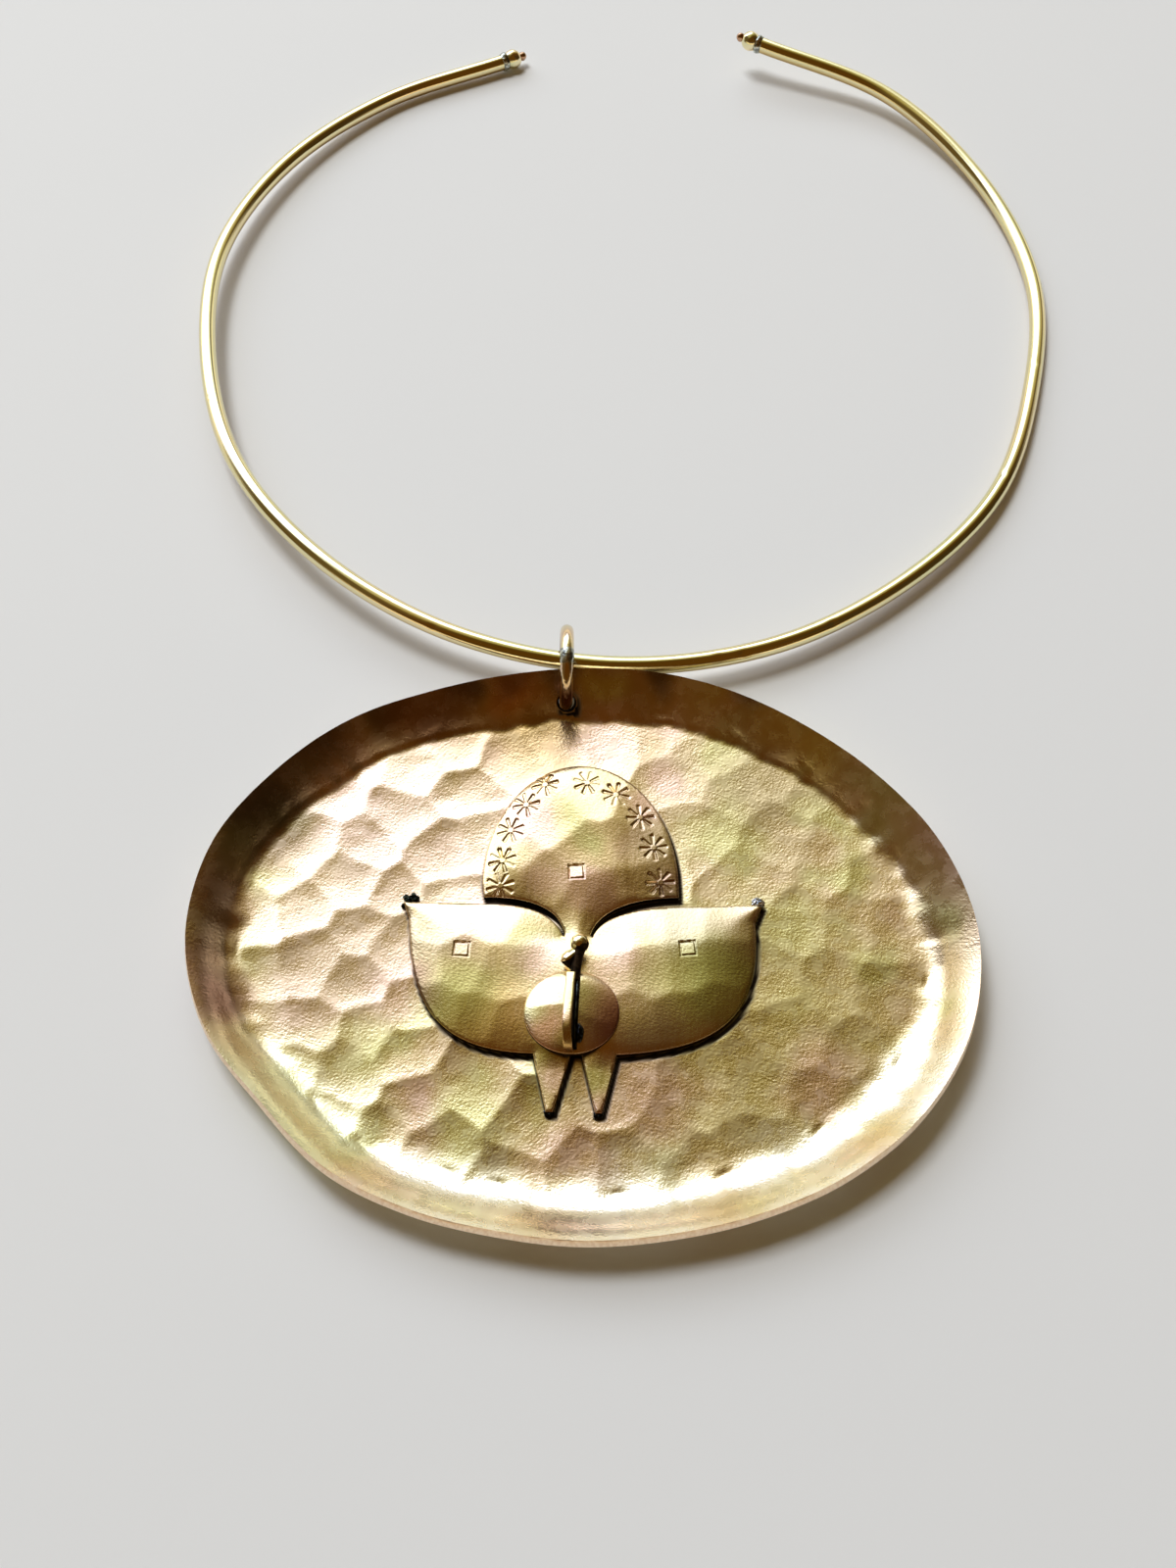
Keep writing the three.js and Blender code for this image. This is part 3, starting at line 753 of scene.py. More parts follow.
# %% Painted shadow round the bird
SHADOW_SHIFT = np.array([0.32, -0.50])
SHADOW_STEPS = (0.4, 0.7, 1.0)
SHADOW_REACH = (0.14, 0.36)
HOLE_SHADOW = {"x": -1.9, "y": 34.9, "reach": (1.4, 1.9)}


def distance_to_outline(places):
    nearest = np.full(len(places), 1e9)
    for start, end in zip(outline, np.roll(outline, -1, axis=0)):
        run = end - start
        share = np.clip((places - start) @ run / (run @ run), 0, 1)
        apart = places - start - share[:, None] * run
        nearest = np.minimum(nearest, np.einsum("ij,ij->i", apart, apart))
    return np.sqrt(nearest)


def painted_shadow_amount(points):
    hole_away = np.hypot(points[:, 0] - HOLE_SHADOW["x"], points[:, 1] - HOLE_SHADOW["y"])
    amount = np.interp(hole_away, HOLE_SHADOW["reach"], [1, 0]) * (points[:, 2] > 1.5)
    near = (np.abs(points[:, 0]) < 26) & (np.abs(points[:, 1]) < 28) & (points[:, 2] > 0.5)
    places = points[near, :2]
    away = np.full(len(places), 1e9)
    for share in SHADOW_STEPS:
        away = np.minimum(away, distance_to_outline(places - share * SHADOW_SHIFT))
    amount[near] = np.interp(away, SHADOW_REACH, [1, 0])
    return amount


def mark_number(piece, name, values):
    attribute = piece.data.attributes.new(name, "FLOAT", "POINT")
    attribute.data.foreach_set("value", np.asarray(values, np.float32))


print("soot reaches", SHADOW_REACH[1], "mm from the outline")

# %% [markdown]
# ## The dish: building it
#
# The dish is lofted in rings from the middle of the face, up over the rim, round the sawn edge
# and back along the underside to the middle. The rings are close together on the face, where the
# hammer marks are, and wide apart underneath. The rim is planished too, so it gets flats along
# its length.
#
# The foot of the rim isn't the same all round. In the north the face is bent tightly, which draws
# a crisp line between dark rim and bright floor. In the south it is round, and there the lip is
# rolled outwards and the sawn edge leans out. All this stays on the face; the back keeps one even
# bend. Last, a boolean drills the hole for the jump ring square to the sheet. It is a little
# wider on the face, as a hole is when its burr has been cleaned off.

# %% Build the dish
PLATE_AROUND = 600
RIM_RUN = 40
LIP_LEAN = (0.14, 0.45)
FACE_ROWS, BEND_ROWS, LIP_ROWS = 112, 22, 8
FOOT_BAND = {"middle": 2.0, "width": 2.6}
HAMMERED_INSET = (4.6, 7.4)
RIM_FLATS = {"inset": [0.8, 2.0, 4.4, 6.4], "share": [0.6, 1, 1, 0]}
EDGE_BULGE = [(0.10, 0.03), (0.35, 0.05), (0.65, 0.04), (0.9, 0.02)]  # share of the edge, swell
TIGHTER = 5.2
TIGHT_TURN = math.radians(97.5)
ROUNDER = 3.6
ROLLED = 0.07
ROUND_TURN = math.radians(250)
HOLE_RADIUS = (1.05, 1.38)
HOLE_SIDE = -2.3
HOLE_TURN = math.radians(40)
DRILL_REACH = 2.2


def dish_shape():
    turn = np.linspace(0, 2 * np.pi, PLATE_AROUND, endpoint=False)
    reach = rim_reach(turn)
    run, level = turn * RIM_RUN, 0 * turn
    ragged = 0.5 * slow_noise(run, level, 4.2, 11) + 0.35 * slow_noise(run, level, 1.7, 12)
    flats = np.abs(((run / 5.2 + slow_noise(run, level, 9.0, 13)) % 1) - 0.5)
    flats = 0.05 * (flats**2 * 4 - 0.33)
    tight = np.clip(0.5 + np.cos(turn - TIGHT_TURN), 0, 1)
    round_foot = np.clip(0.35 + np.cos(turn - ROUND_TURN), 0, 1)
    cut = LIP_LEAN[0] + LIP_LEAN[1] * np.clip(-1.3 * np.sin(turn), 0, 1)

    def ring(inset, fillet, lift, worked):
        inset = np.broadcast_to(inset, turn.shape)
        x = (reach - inset) * np.cos(turn)
        y = (reach - inset) * np.sin(turn)
        from_foot = inset - FLOOR_INSET + FOOT_BAND["middle"]
        near_foot = np.exp(-((from_foot / FOOT_BAND["width"]) ** 2))
        bent = inset + worked * (ragged + 0.1 * tight + 0.9 * round_foot) * near_foot
        tighter = worked * (TIGHTER * tight - ROUNDER * round_foot)
        z = section(bent, fillet, lift, tighter, RIM_EASE + worked * ROLLED * round_foot)
        if worked:
            on_floor = np.interp(inset, HAMMERED_INSET, [0, 1])
            on_rim = np.interp(inset, RIM_FLATS["inset"], RIM_FLATS["share"])
            z = z + on_floor * hammered_height(x, y) + on_rim * flats + nick_height(x, y)
            z = z + 0.012 * slow_noise(x, y, 1.4, 4)
        return np.c_[x, y, z]

    sine, cosine = math.sin(RIM_ANGLE), math.cos(RIM_ANGLE)
    face_edge = FLOOR_INSET - RIM_FILLET * sine - RIM_STRAIGHT * cosine
    rings = []
    for share in np.linspace(0.012, 1, FACE_ROWS)[:-1]:
        rings.append(ring(reach - share * (reach - FLOOR_INSET), RIM_FILLET, PLATE_SHEET, 1))
    for angle in np.linspace(0, RIM_ANGLE, BEND_ROWS)[:-1]:
        rings.append(ring(FLOOR_INSET - RIM_FILLET * math.sin(angle), RIM_FILLET, PLATE_SHEET, 1))
    for share in np.linspace(1, 0, LIP_ROWS):
        inset = cut + share * (face_edge + RIM_STRAIGHT * cosine - cut)
        rings.append(ring(inset, RIM_FILLET, PLATE_SHEET, 1))
    top, low = rings[-1], ring(0.0, BACK_FILLET, 0.0, 0)
    outward = np.c_[np.cos(turn), np.sin(turn), level]
    file_marks = 0.03 * slow_noise(run, level, 0.9, 14)[:, None] * outward
    for share, push in EDGE_BULGE:
        rings.append(top * (1 - share) + low * share + push * outward + file_marks)
    rings.append(low)
    face_rows = len(rings)
    for inset in np.linspace(0, FLOOR_INSET, 12)[1:]:
        rings.append(ring(inset, BACK_FILLET, 0.0, 0))
    for share in np.linspace(1, 0.03, 9)[1:]:
        rings.append(ring(reach - share * (reach - FLOOR_INSET), BACK_FILLET, 0.0, 0))
    edge_rows = len(EDGE_BULGE) + 1
    first = (CAP_ROWS + face_rows - 1 - edge_rows) * PLATE_AROUND
    return loft(rings), range(first, first + edge_rows * PLATE_AROUND)


def drill_hole(dish):
    """Cuts the jump ring's hole square to the sheet, at the foot of the rim."""
    middle_radius = RIM_FILLET + PLATE_SHEET / 2
    inset = FLOOR_INSET - middle_radius * math.sin(HOLE_TURN)
    height = BACK_FILLET - middle_radius * math.cos(HOLE_TURN)
    place = np.array([HOLE_SIDE, PLATE_REACH[6] - inset, height])
    axis = np.array([0, -math.sin(HOLE_TURN), math.cos(HOLE_TURN)])
    across, up = np.array([1, 0, 0]), np.cross(axis, [1, 0, 0])
    turn = np.linspace(0, 2 * np.pi, 48, endpoint=False)[:, None]
    circle = np.cos(turn) * across + np.sin(turn) * up
    taper = (HOLE_RADIUS[1] - HOLE_RADIUS[0]) / PLATE_SHEET
    middle = sum(HOLE_RADIUS) / 2
    ends = [place + (middle + taper * d) * circle + d * axis for d in (-DRILL_REACH, DRILL_REACH)]
    points, faces = loft(ends)
    mesh = bpy.data.meshes.new("drill")
    mesh.from_pydata((points * MM).tolist(), [], faces)
    # The hole's wall is painted black, as painted shade inside the hole.
    mesh.materials.append(painted_shade)
    turn_outwards(mesh)
    drill = bpy.data.objects.new("drill", mesh)
    bpy.context.scene.collection.objects.link(drill)
    cut = dish.modifiers.new("hole", "BOOLEAN")
    cut.operation = "DIFFERENCE"
    cut.object = drill
    cut.material_mode = "TRANSFER"
    bpy.context.view_layer.objects.active = dish
    bpy.ops.object.modifier_apply(modifier=cut.name)
    bpy.data.objects.remove(drill)
    dish.data.set_sharp_from_angle(angle=SHARP_ANGLE)
    return place


shape, edge_faces = dish_shape()
dish = make_piece("plate_dish", shape, hammered)
paint(dish, sawn, edge_faces)
mark_number(dish, "painted_shadow", painted_shadow_amount(shape[0]))
hole_place = drill_hole(dish)
print("hole at", hole_place.round(2), "faces now", len(dish.data.polygons))

# %% [markdown]
# ## Finish of the peacock
#
# The bird is brighter and smoother than the dish, as brass is when it is planished on a smooth
# stake and rubbed with a fine abrasive. Faint brushed lines run up and down. It has washes of
# tarnish too, amber on the left wing, and painted shade where the dome turns away from the light:
# mossy and darker on the right wing, and dark brown in the fan's lower right corner. On the belly
# disc the spots are smaller and stronger, with painted shade on its right half.

# %% Planished brass
AMBER = (0.84, 0.57, 0.25)
SALMON = (0.98, 0.60, 0.47)
MOSS = (0.53, 0.48, 0.18)
PAINTED_SHADE_BROWN = (0.56, 0.42, 0.27)
PLUM = (0.27, 0.14, 0.11)
WINE = (0.32, 0.12, 0.10)
TAUPE = (0.50, 0.43, 0.28)
SAND = (0.66, 0.53, 0.33)
EARTH = (0.50, 0.40, 0.24)
FERN = (0.36, 0.34, 0.11)
OCHRE = (0.50, 0.37, 0.13)
# The dark washes in the fan's lower right corner and on the right wing are painted shade, where the
# dome turns away from the light.
BIRD_TARNISH_AND_PAINTED_SHADE = [  # x, y, reach, colour
    (14.5, -6.0, 13.0, MOSS), (-12.0, -12.5, 9.0, AMBER), (-6.0, -2.5, 4.5, ROSE),
    (12.0, 7.4, 5.5, PLUM), (5.0, -2.0, 4.0, ROSE), (-5.0, 8.6, 4.5, ROSE),
    (-20.6, -6.0, 4.5, MAROON), (10.4, 14.0, 7.5, PAINTED_SHADE_BROWN), (14.5, 2.0, 8.0, TAUPE),
    (-18.0, 1.5, 6.5, SAND), (19.8, 1.6, 6.5, EARTH), (18.0, -5.0, 8.0, FERN),
    (-15.0, -7.0, 8.0, MOSS), (-3.6, -18.0, 3.5, ROSE), (1.9, -18.5, 3.5, MOSS),
    (9.0, -13.0, 6.0, PAINTED_SHADE_BROWN), (19.0, -8.0, 5.0, MOSS),
]
# Wine on the disc's right half is painted shade, where its dome turns away from the light.
BELLY_TARNISH_AND_PAINTED_SHADE = [  # x, y, reach, colour
    (-4.6, -13.4, 5.6, SALMON), (0.4, -9.0, 4.4, MOSS), (4.6, -11.6, 7.2, WINE),
    (-6.4, -9.6, 3.2, OLIVE), (-1.9, -14.2, 3.0, OCHRE),
]


def planished_finish(name, spots, wander):
    finish, tree, shader = start_finish(name)
    tones = tarnish(tree, 0.16, (0.76, 0.58, 0.32), (0.79, 0.54, 0.41), (0.61, 0.55, 0.24))
    tree.links.new(washes(tree, tones, spots, wander), shader.inputs["Base Color"])
    brushed = noise(tree, in_millimetres(tree, 4.0, (5.0, 0.35, 1.0)), 1.0, 3.0)
    skin = noise(tree, in_millimetres(tree, 30.0, (1.0, 1.5, 1.0)), 2.4, 3.0)
    skin = maths(tree, "ADD", both(tree, brushed, 0.05), skin)
    raise_skin(tree, shader, skin, SKIN_DEPTH)
    rough = ease(tree, brushed, 0.3, 0.7, 0.22, 0.27)
    tree.links.new(rough, shader.inputs["Roughness"])
    return finish


planished = planished_finish("planished_brass", BIRD_TARNISH_AND_PAINTED_SHADE, 3.0)
belly_brass = planished_finish("belly_brass", BELLY_TARNISH_AND_PAINTED_SHADE, 1.0)
print("finishes:", planished.name, belly_brass.name)

# %% [markdown]
# ## The peacock: doming, flats and punches
#
# The sheet is low along every sawn edge and high inside. How far in a point lies is summed over
# the whole outline instead of taken from the nearest cut only, because that leaves no crease
# along the middle. The fan's right half is flatter. Flats break the dome up, as a planishing
# hammer leaves them: shallow bowls, as on the dish, that cancel its curve. Ten star punches go
# round the fan and three square punches mark the fan and the wings; they are real dents. A
# punch held by hand bites more on one side, so no two spokes of a star are equally deep.

# %% Peacock relief
BIRD_SHEET = 0.8
BIRD_GAP = 0.3
BIRD_BULGE = 0.9
BULGE_WIDTH = 6.5
FLAT_RADIUS = 56.0
FLATS = [  # x, y
    (-4.4, 17.2), (1.2, 21.8), (0.6, 11.8), (7.0, 13.5), (9.0, 19.0), (9.6, 8.0), (-4.8, 8.0),
    (1.5, 6.2), (-0.4, 3.0), (-9.5, 12.5), (-10.8, 8.0), (-18.4, 3.2), (-11.6, 3.4), (-5.4, 1.6),
    (-20.8, -3.6), (-15.2, -3.4), (-10.6, -5.6), (-5.6, -4.2), (-18.8, -9.6), (-13.6, -10.6),
    (-8.4, -12.2), (3.0, 0.8), (8.4, 2.0), (13.2, 2.2), (18.6, 2.6), (3.2, -4.8), (8.6, -4.4),
    (13.6, -4.2), (18.6, -3.6), (6.8, -11.2), (12.4, -10.6), (17.4, -9.0), (-1.4, -10.0),
    (-4.6, -18.6), (1.8, -18.8),
]
STARS = [  # x, y
    (-5.1, 22.5), (-7.6, 19.4), (-9.6, 15.6), (-10.6, 11.2), (-10.8, 7.6),
    (0.6, 22.8), (4.5, 21.0), (7.7, 17.6), (9.4, 13.1), (10.2, 8.1),
]
STAR_REACH = 1.95
STAR_FORCE = (0.25, 0.33)
SPOKES = 8
SQUARES = [(-0.8, 9.4, 3.0), (-15.5, -1.5, -4.0), (13.5, -1.4, 4.0)]  # x, y, lean in degrees
SQUARE_SIDE = 1.9


def is_inside(places):
    inside = np.zeros(len(places), bool)
    for (x0, y0), (x1, y1) in zip(outline, np.roll(outline, -1, axis=0)):
        if y0 == y1:
            continue
        crosses = (y0 > places[:, 1]) != (y1 > places[:, 1])
        inside ^= crosses & (places[:, 0] < x0 + (x1 - x0) * (places[:, 1] - y0) / (y1 - y0))
    return inside


def depth_inside(places, distance):
    """Distance to the outline near it, and a smooth sum over the whole outline further in."""
    total = np.zeros(len(places))
    for part in np.array_split(np.arange(len(places)), 60):
        apart = ((places[part][:, None] - outline[None]) ** 2).sum(axis=2)
        total[part] = (OUTLINE_STEP / np.maximum(apart, 0.02) ** 2).sum(axis=1)
    smooth = (total * 2 / np.pi) ** (-1 / 3)
    share = np.clip((distance - 0.35) / 0.8, 0, 1)
    return distance * (1 - share) + smooth * share


def dome(places, distance):
    """Height that the doming gives: flat legs, and a pillow under the fan and the wings."""
    inside = np.clip(depth_inside(places, distance) / BULGE_WIDTH, 0, 1)
    on_leg = np.interp(places[:, 1], [-17.0, -14.0], [0.25, 1])
    beaten = np.interp(places[:, 0], [2.0, 6.0], [0, 1]) * np.interp(places[:, 1], [4.0, 7.0], [0, 1])
    return BIRD_BULGE * (1 - (1 - inside) ** (2 - 0.75 * beaten)) * on_leg


def flats_height(places):
    """Shallow bowls of the planishing hammer."""
    total = np.empty(len(places))
    x, y = places.T
    bent = np.c_[x + 0.5 * slow_noise(x, y, 5.0, 15), y + 0.5 * slow_noise(x, y, 5.0, 16)]
    for part in np.array_split(np.arange(len(places)), 20):
        apart = ((bent[part][:, None] - np.array(FLATS)[None]) ** 2).sum(axis=2)
        total[part] = soft_minimum(apart / (2 * FLAT_RADIUS), 0.022)
    return total - 0.06


def punch_depth(places):
    depth = np.zeros(len(places))
    strike = np.random.default_rng(8)
    wedge = 2 * np.pi / SPOKES
    for across, up in STARS:
        turn0, force = strike.uniform(0, wedge), strike.uniform(*STAR_FORCE)
        lean = strike.uniform(0, 2 * np.pi)
        spoke_forces = strike.uniform(0.15, 1.3, SPOKES).clip(0.2, 1.1)
        x, y = places[:, 0] - across, places[:, 1] - up
        out = np.hypot(x, y)
        close = out < STAR_REACH + 0.4
        turn = np.arctan2(y[close], x[close])
        off = (turn - turn0 + wedge / 2) % wedge - wedge / 2
        aside = np.abs(out[close] * np.sin(off))
        width = 0.13 + 0.23 * np.clip(out[close] / STAR_REACH, 0, 1)
        groove = np.clip(1 - aside / width, 0, 1) * np.clip((STAR_REACH - out[close]) / 0.2, 0, 1)
        groove *= np.clip((out[close] - 0.34) / 0.2, 0, 1)
        spoke = np.floor((turn - turn0 + wedge / 2) / wedge).astype(int) % SPOKES
        weight = (0.75 + 0.3 * np.cos(turn - lean)) * spoke_forces[spoke]
        depth[close] += force * weight * np.minimum(groove * 1.6, 1)
    for across, up, lean in SQUARES:
        turn = math.radians(lean)
        x, y = places[:, 0] - across, places[:, 1] - up
        u = x * math.cos(turn) + y * math.sin(turn)
        v = y * math.cos(turn) - x * math.sin(turn)
        far = np.maximum(np.abs(u), np.abs(v))
        line = np.clip(1 - np.abs(far - SQUARE_SIDE / 2) / 0.17, 0, 1)
        weight = 0.15 + 0.05 * np.clip(v - u, -1, 1)
        inner = np.clip((SQUARE_SIDE / 2 - far) / 0.15, 0, 1)
        depth += np.minimum(line * 1.5, 1) * weight + inner * (0.03 + 0.07 * v - 0.04 * u)
    return depth


print(len(FLATS), "flats,", len(STARS), "stars,", len(SQUARES), "squares")

# %% [markdown]
# ## The peacock: building it
#
# A sheet with a sawn outline can't be lofted in rings. A constrained triangulation fills the
# outline instead, with a fine grid of points inside it and an even finer one round each punch.
# The back is filled from the same outline with a wide grid, and a wall joins the two. The wall
# and the back are painted black as shade, except where the wall looks west, where it is as bright
# as the face.

# %% Build the peacock sheet
PUNCH_STEP = 0.075
PUNCH_ROOM = 2.0
FACE_STEP = 0.27
BACK_STEP = 1.2
SHOULDER = 0.12
WORN_EDGE = {"depth": 0.14, "width": 0.11}


def fill_outline(rim, inner):
    """Triangles that fill the outline and pass through the inner points."""
    places = [Vector(p) for p in np.vstack([rim, inner])]
    filled = delaunay_2d_cdt(places, [], [list(range(len(rim)))], 1, 1e-7)
    return np.array(filled[0]), [tuple(face) for face in filled[2]]


def grid_inside(step, margin, seed):
    low, high = outline.min(axis=0), outline.max(axis=0)
    columns, rows = np.arange(low[0], high[0], step), np.arange(low[1], high[1], step * 0.866)
    x, y = np.meshgrid(columns, rows)
    x[1::2] += step / 2
    places = np.c_[x.ravel(), y.ravel()]
    places += np.random.default_rng(seed).uniform(-0.04, 0.04, places.shape) * step
    places = places[is_inside(places)]
    return places[distance_to_outline(places) > margin]


def sheet_shape():
    normal = np.roll(outline, 1, axis=0) - np.roll(outline, -1, axis=0)
    normal = np.c_[normal[:, 1], -normal[:, 0]] / np.linalg.norm(normal, axis=1)[:, None]
    shoulder = outline + SHOULDER * normal
    shoulder = shoulder[is_inside(shoulder)]
    shoulder = shoulder[distance_to_outline(shoulder) > 0.09]
    punched = np.array(STARS + [spot[:2] for spot in SQUARES])
    fine = grid_inside(PUNCH_STEP, 0.2, 21)
    apart = np.linalg.norm(fine[:, None] - punched[None], axis=2).min(axis=1)
    wide = grid_inside(FACE_STEP, 0.24, 22)
    wide_apart = np.linalg.norm(wide[:, None] - punched[None], axis=2).min(axis=1)
    by_punch, elsewhere = fine[apart < PUNCH_ROOM], wide[wide_apart > PUNCH_ROOM + 0.1]
    inner = np.vstack([shoulder, by_punch, elsewhere])
    face_places, face_faces = fill_outline(outline, inner)
    back_places, back_faces = fill_outline(outline, grid_inside(BACK_STEP, 0.6, 23))

    distance = distance_to_outline(face_places)
    base = PLATE_SHEET + BIRD_GAP
    worn = WORN_EDGE["depth"] * np.clip(1 - distance / WORN_EDGE["width"], 0, 1)
    x, y = face_places.T
    flat = flats_height(face_places) * np.clip(distance / 0.8, 0, 1)
    face_z = base + BIRD_SHEET + dome(face_places, distance) + flat - worn
    face_z += 0.012 * slow_noise(x, y, 2.4, 6) - punch_depth(face_places)
    back_z = base + dome(back_places, distance_to_outline(back_places))

    face_points = np.c_[face_places, face_z]
    back_points = np.c_[back_places, back_z]
    shift = len(face_points)
    faces = face_faces + [tuple(c + shift for c in reversed(face)) for face in back_faces]
    face_edge = edge_loop(face_places)
    back_edge = edge_loop(back_places)
    for i in range(len(outline)):
        beside = (i + 1) % len(outline)
        high, high_next = face_edge[i], face_edge[beside]
        low, low_next = back_edge[i] + shift, back_edge[beside] + shift
        faces.append((low, low_next, high_next, high))
    walls_and_back = range(len(face_faces), len(faces))
    return (np.vstack([face_points, back_points]), faces), walls_and_back


def edge_loop(places):
    """The point of each outline corner among the triangulated places."""
    found = []
    for corner in outline:
        found.append(int(((places - corner) ** 2).sum(axis=1).argmin()))
    return found


shape, walls_and_back = sheet_shape()
sheet = make_piece("peacock_sheet", shape, planished)
# Painted shade: walls and back are black; the west-facing walls get the bright finish back.
paint(sheet, painted_shade, walls_and_back)
paint_towards(sheet, planished, (-1.0, 0.25, 0.0), 0.6)

# %% [markdown]
# ## Belly disc
#
# A small domed disc is soldered over the middle of the bird. A doming block would give its form.
# A turned shape, squeezed a little to an oval, makes it. Four flats fall away from the middle, as
# light hammering leaves them, and they are turned down to one even edge.

# %% Belly disc
BELLY = {"x": -1.35, "y": -10.2, "half_width": 6.0, "half_length": 5.5}
BELLY_HEIGHT = {"edge": 0.75, "crown": 1.05, "fall": 0.15}
BELLY_ROWS = 40
# fall to the east, fall to the north, lift
BELLY_SLOPES = [(-0.13, 0.13, 0.2), (-0.11, -0.11, 0.0), (0.17, 0.0, 0.0), (0.12, -0.13, 0.0)]
BELLY_AROUND = 160
SOLDER_SINK = 0.2
BELLY_FOOT = PLATE_SHEET + BIRD_GAP + BIRD_BULGE + BIRD_SHEET - SOLDER_SINK


def belly_flats(x, y):
    """Four planes that fall away from the middle, with a soft ridge between them."""
    planes = [lift - x * east - y * north for east, north, lift in BELLY_SLOPES]
    return 0.8 * soft_minimum(np.stack(planes, axis=-1), 0.02)


def belly_shape():
    turn = np.linspace(0, 2 * np.pi, BELLY_AROUND, endpoint=False)
    rim_x, rim_y = BELLY["half_width"] * np.cos(turn), BELLY["half_length"] * np.sin(turn)
    edge, crown, fall = BELLY_HEIGHT["edge"], BELLY_HEIGHT["crown"], BELLY_HEIGHT["fall"]
    spare = crown - fall + belly_flats(rim_x, rim_y)
    rings = []
    for share in np.linspace(0.02, 0.985, BELLY_ROWS):
        x, y = rim_x * share, rim_y * share
        z = edge + crown - fall * share**2 + belly_flats(x, y)
        z = z - spare * share**7 + 0.02 * slow_noise(x, y, 3.4, 31) * (1 - share**4)
        rings.append(np.c_[x, y, z])
    for share, height in ((1.0, 0.66), (1.0, 0.4), (0.995, 0.0), (0.6, 0.0), (0.05, 0.0)):
        rings.append(np.c_[rim_x * share, rim_y * share, height + 0 * turn])
    points, faces = loft(rings)
    return points + [BELLY["x"], BELLY["y"], BELLY_FOOT], faces


belly = make_piece("belly_disc", belly_shape(), belly_brass)
# Painted shade: the disc's edge and underside rings are black.
paint(belly, painted_shade, range((CAP_ROWS + BELLY_ROWS) * BELLY_AROUND, len(belly.data.polygons)))

# %% [markdown]
# ## Neck strip
#
# A strip of sheet stands on edge over the belly and arches down to the south, and the head is
# soldered on its north end. The strip is a row of rounded rectangles along its length. It leans
# to the left by a few degrees, and its right side is painted black, as painted shade.

# %% Neck strip
STRIP_TOP = [  # y, height of the top
    (-5.6, 5.5), (-7.0, 5.72), (-8.5, 5.98), (-11.0, 6.28), (-12.7, 6.2), (-13.7, 5.85),
    (-14.6, 5.25), (-15.25, 4.5), (-15.5, 3.9),
]
STRIP_WIDTH = 1.2
STRIP_YAW = math.radians(-3)
STRIP_LEAN = math.radians(-9)


def strip_shape():
    profile = smooth_curve(STRIP_TOP, 10)
    foot = BELLY_FOOT + SOLDER_SINK
    middle = (STRIP_TOP[0][0] + STRIP_TOP[-1][0]) / 2
    corner = 0.14
    rings = []
    for y, top in profile:
        along, top = y - middle, top - foot
        wide = STRIP_WIDTH / 2 * (1 + 0.05 * slow_noise(along, 0.0, 1.6, 41))
        across = [-wide, -wide, -wide + 0.05, -wide + corner, -0.25, 0.25]
        across += [wide - corner, wide - 0.05, wide, wide, 0.25, -0.25]
        up = [0, top - corner, top - 0.05, top, top + 0.02, top + 0.02]
        up += [top, top - 0.05, top - corner, 0, 0, 0]
        rings.append(np.c_[across, np.full(12, along), up])
    rings = np.array(rings)
    x, y, z = rings[..., 0], rings[..., 1], rings[..., 2]
    x, z = (
        x * math.cos(STRIP_LEAN) + z * math.sin(STRIP_LEAN),
        z * math.cos(STRIP_LEAN) - x * math.sin(STRIP_LEAN),
    )
    x, y = (
        x * math.cos(STRIP_YAW) - y * math.sin(STRIP_YAW),
        x * math.sin(STRIP_YAW) + y * math.cos(STRIP_YAW),
    )
    return loft(np.stack([x + BELLY["x"], y + middle, z + foot], axis=-1))


strip = make_piece("neck_strip", strip_shape(), belly_brass)
# Painted shade: the strip's right side is black.
paint_towards(strip, painted_shade, (1, 0, -0.1), 0.8)

# %% [markdown]
# A round rod along a curve makes the neck of the bird, and later the neck wire and the jump ring
# too. At each step a circle is laid square to the path, with one direction kept level, so marks
# that run lengthwise stay straight. The place along and round the rod is kept as an attribute
# named `grain`, for finishes that need to know which way the metal was drawn.

# %% Rods and blobs
def rod_rings(path, radii, sides):
    path = np.asarray(path, float)
    radii = np.broadcast_to(np.asarray(radii, float), len(path))
    tangent = np.gradient(path, axis=0)
    tangent /= np.linalg.norm(tangent, axis=1)[:, None]
    level = np.cross(tangent, [0, 0, 1.0])
    level /= np.linalg.norm(level, axis=1)[:, None]
    upper = np.cross(level, tangent)
    turn = np.linspace(0, 2 * np.pi, sides, endpoint=False)
    cosine, sine = np.cos(turn)[None, :, None], np.sin(turn)[None, :, None]
    circle = cosine * level[:, None] + sine * upper[:, None]
    return path[:, None] + radii[:, None, None] * circle


BLOB_ROWS = 22
BLOB_AROUND = 40
POLE_GAP = 0.06


def blob_shape(place, radii, seed, rough=0.12, step=0.7):
    """A lump of melted metal: a ball, flattened and unevenly swollen."""
    rings = []
    for lift in np.linspace(POLE_GAP, math.pi - POLE_GAP, BLOB_ROWS):
        turn = np.linspace(0, 2 * np.pi, BLOB_AROUND, endpoint=False)
        ball = np.c_[
            math.sin(lift) * np.cos(turn), math.sin(lift) * np.sin(turn), math.cos(lift) + 0 * turn
        ]
        swell = slow_noise(ball[:, 0] * 2 + 3 * ball[:, 2], ball[:, 1] * 2 - ball[:, 2], step, seed)
        rings.append(np.array(place) + ball * np.array(radii) * (1 + rough * swell[:, None]))
    return loft(rings)


print("helpers: rod_rings, blob_shape")

# %% [markdown]
# ## Head
#
# The head is built as three bits of brass that ran together: a short neck rod painted black as
# shade, a wedge for the beak, with a bright narrow top and a slope below it painted black as
# shade, and a bead for the crest. Brass that was melted or rubbed round is the brightest on the
# piece, so it gets a smooth finish of its own. The same finish in browner tones is used on the
# wire's tips.

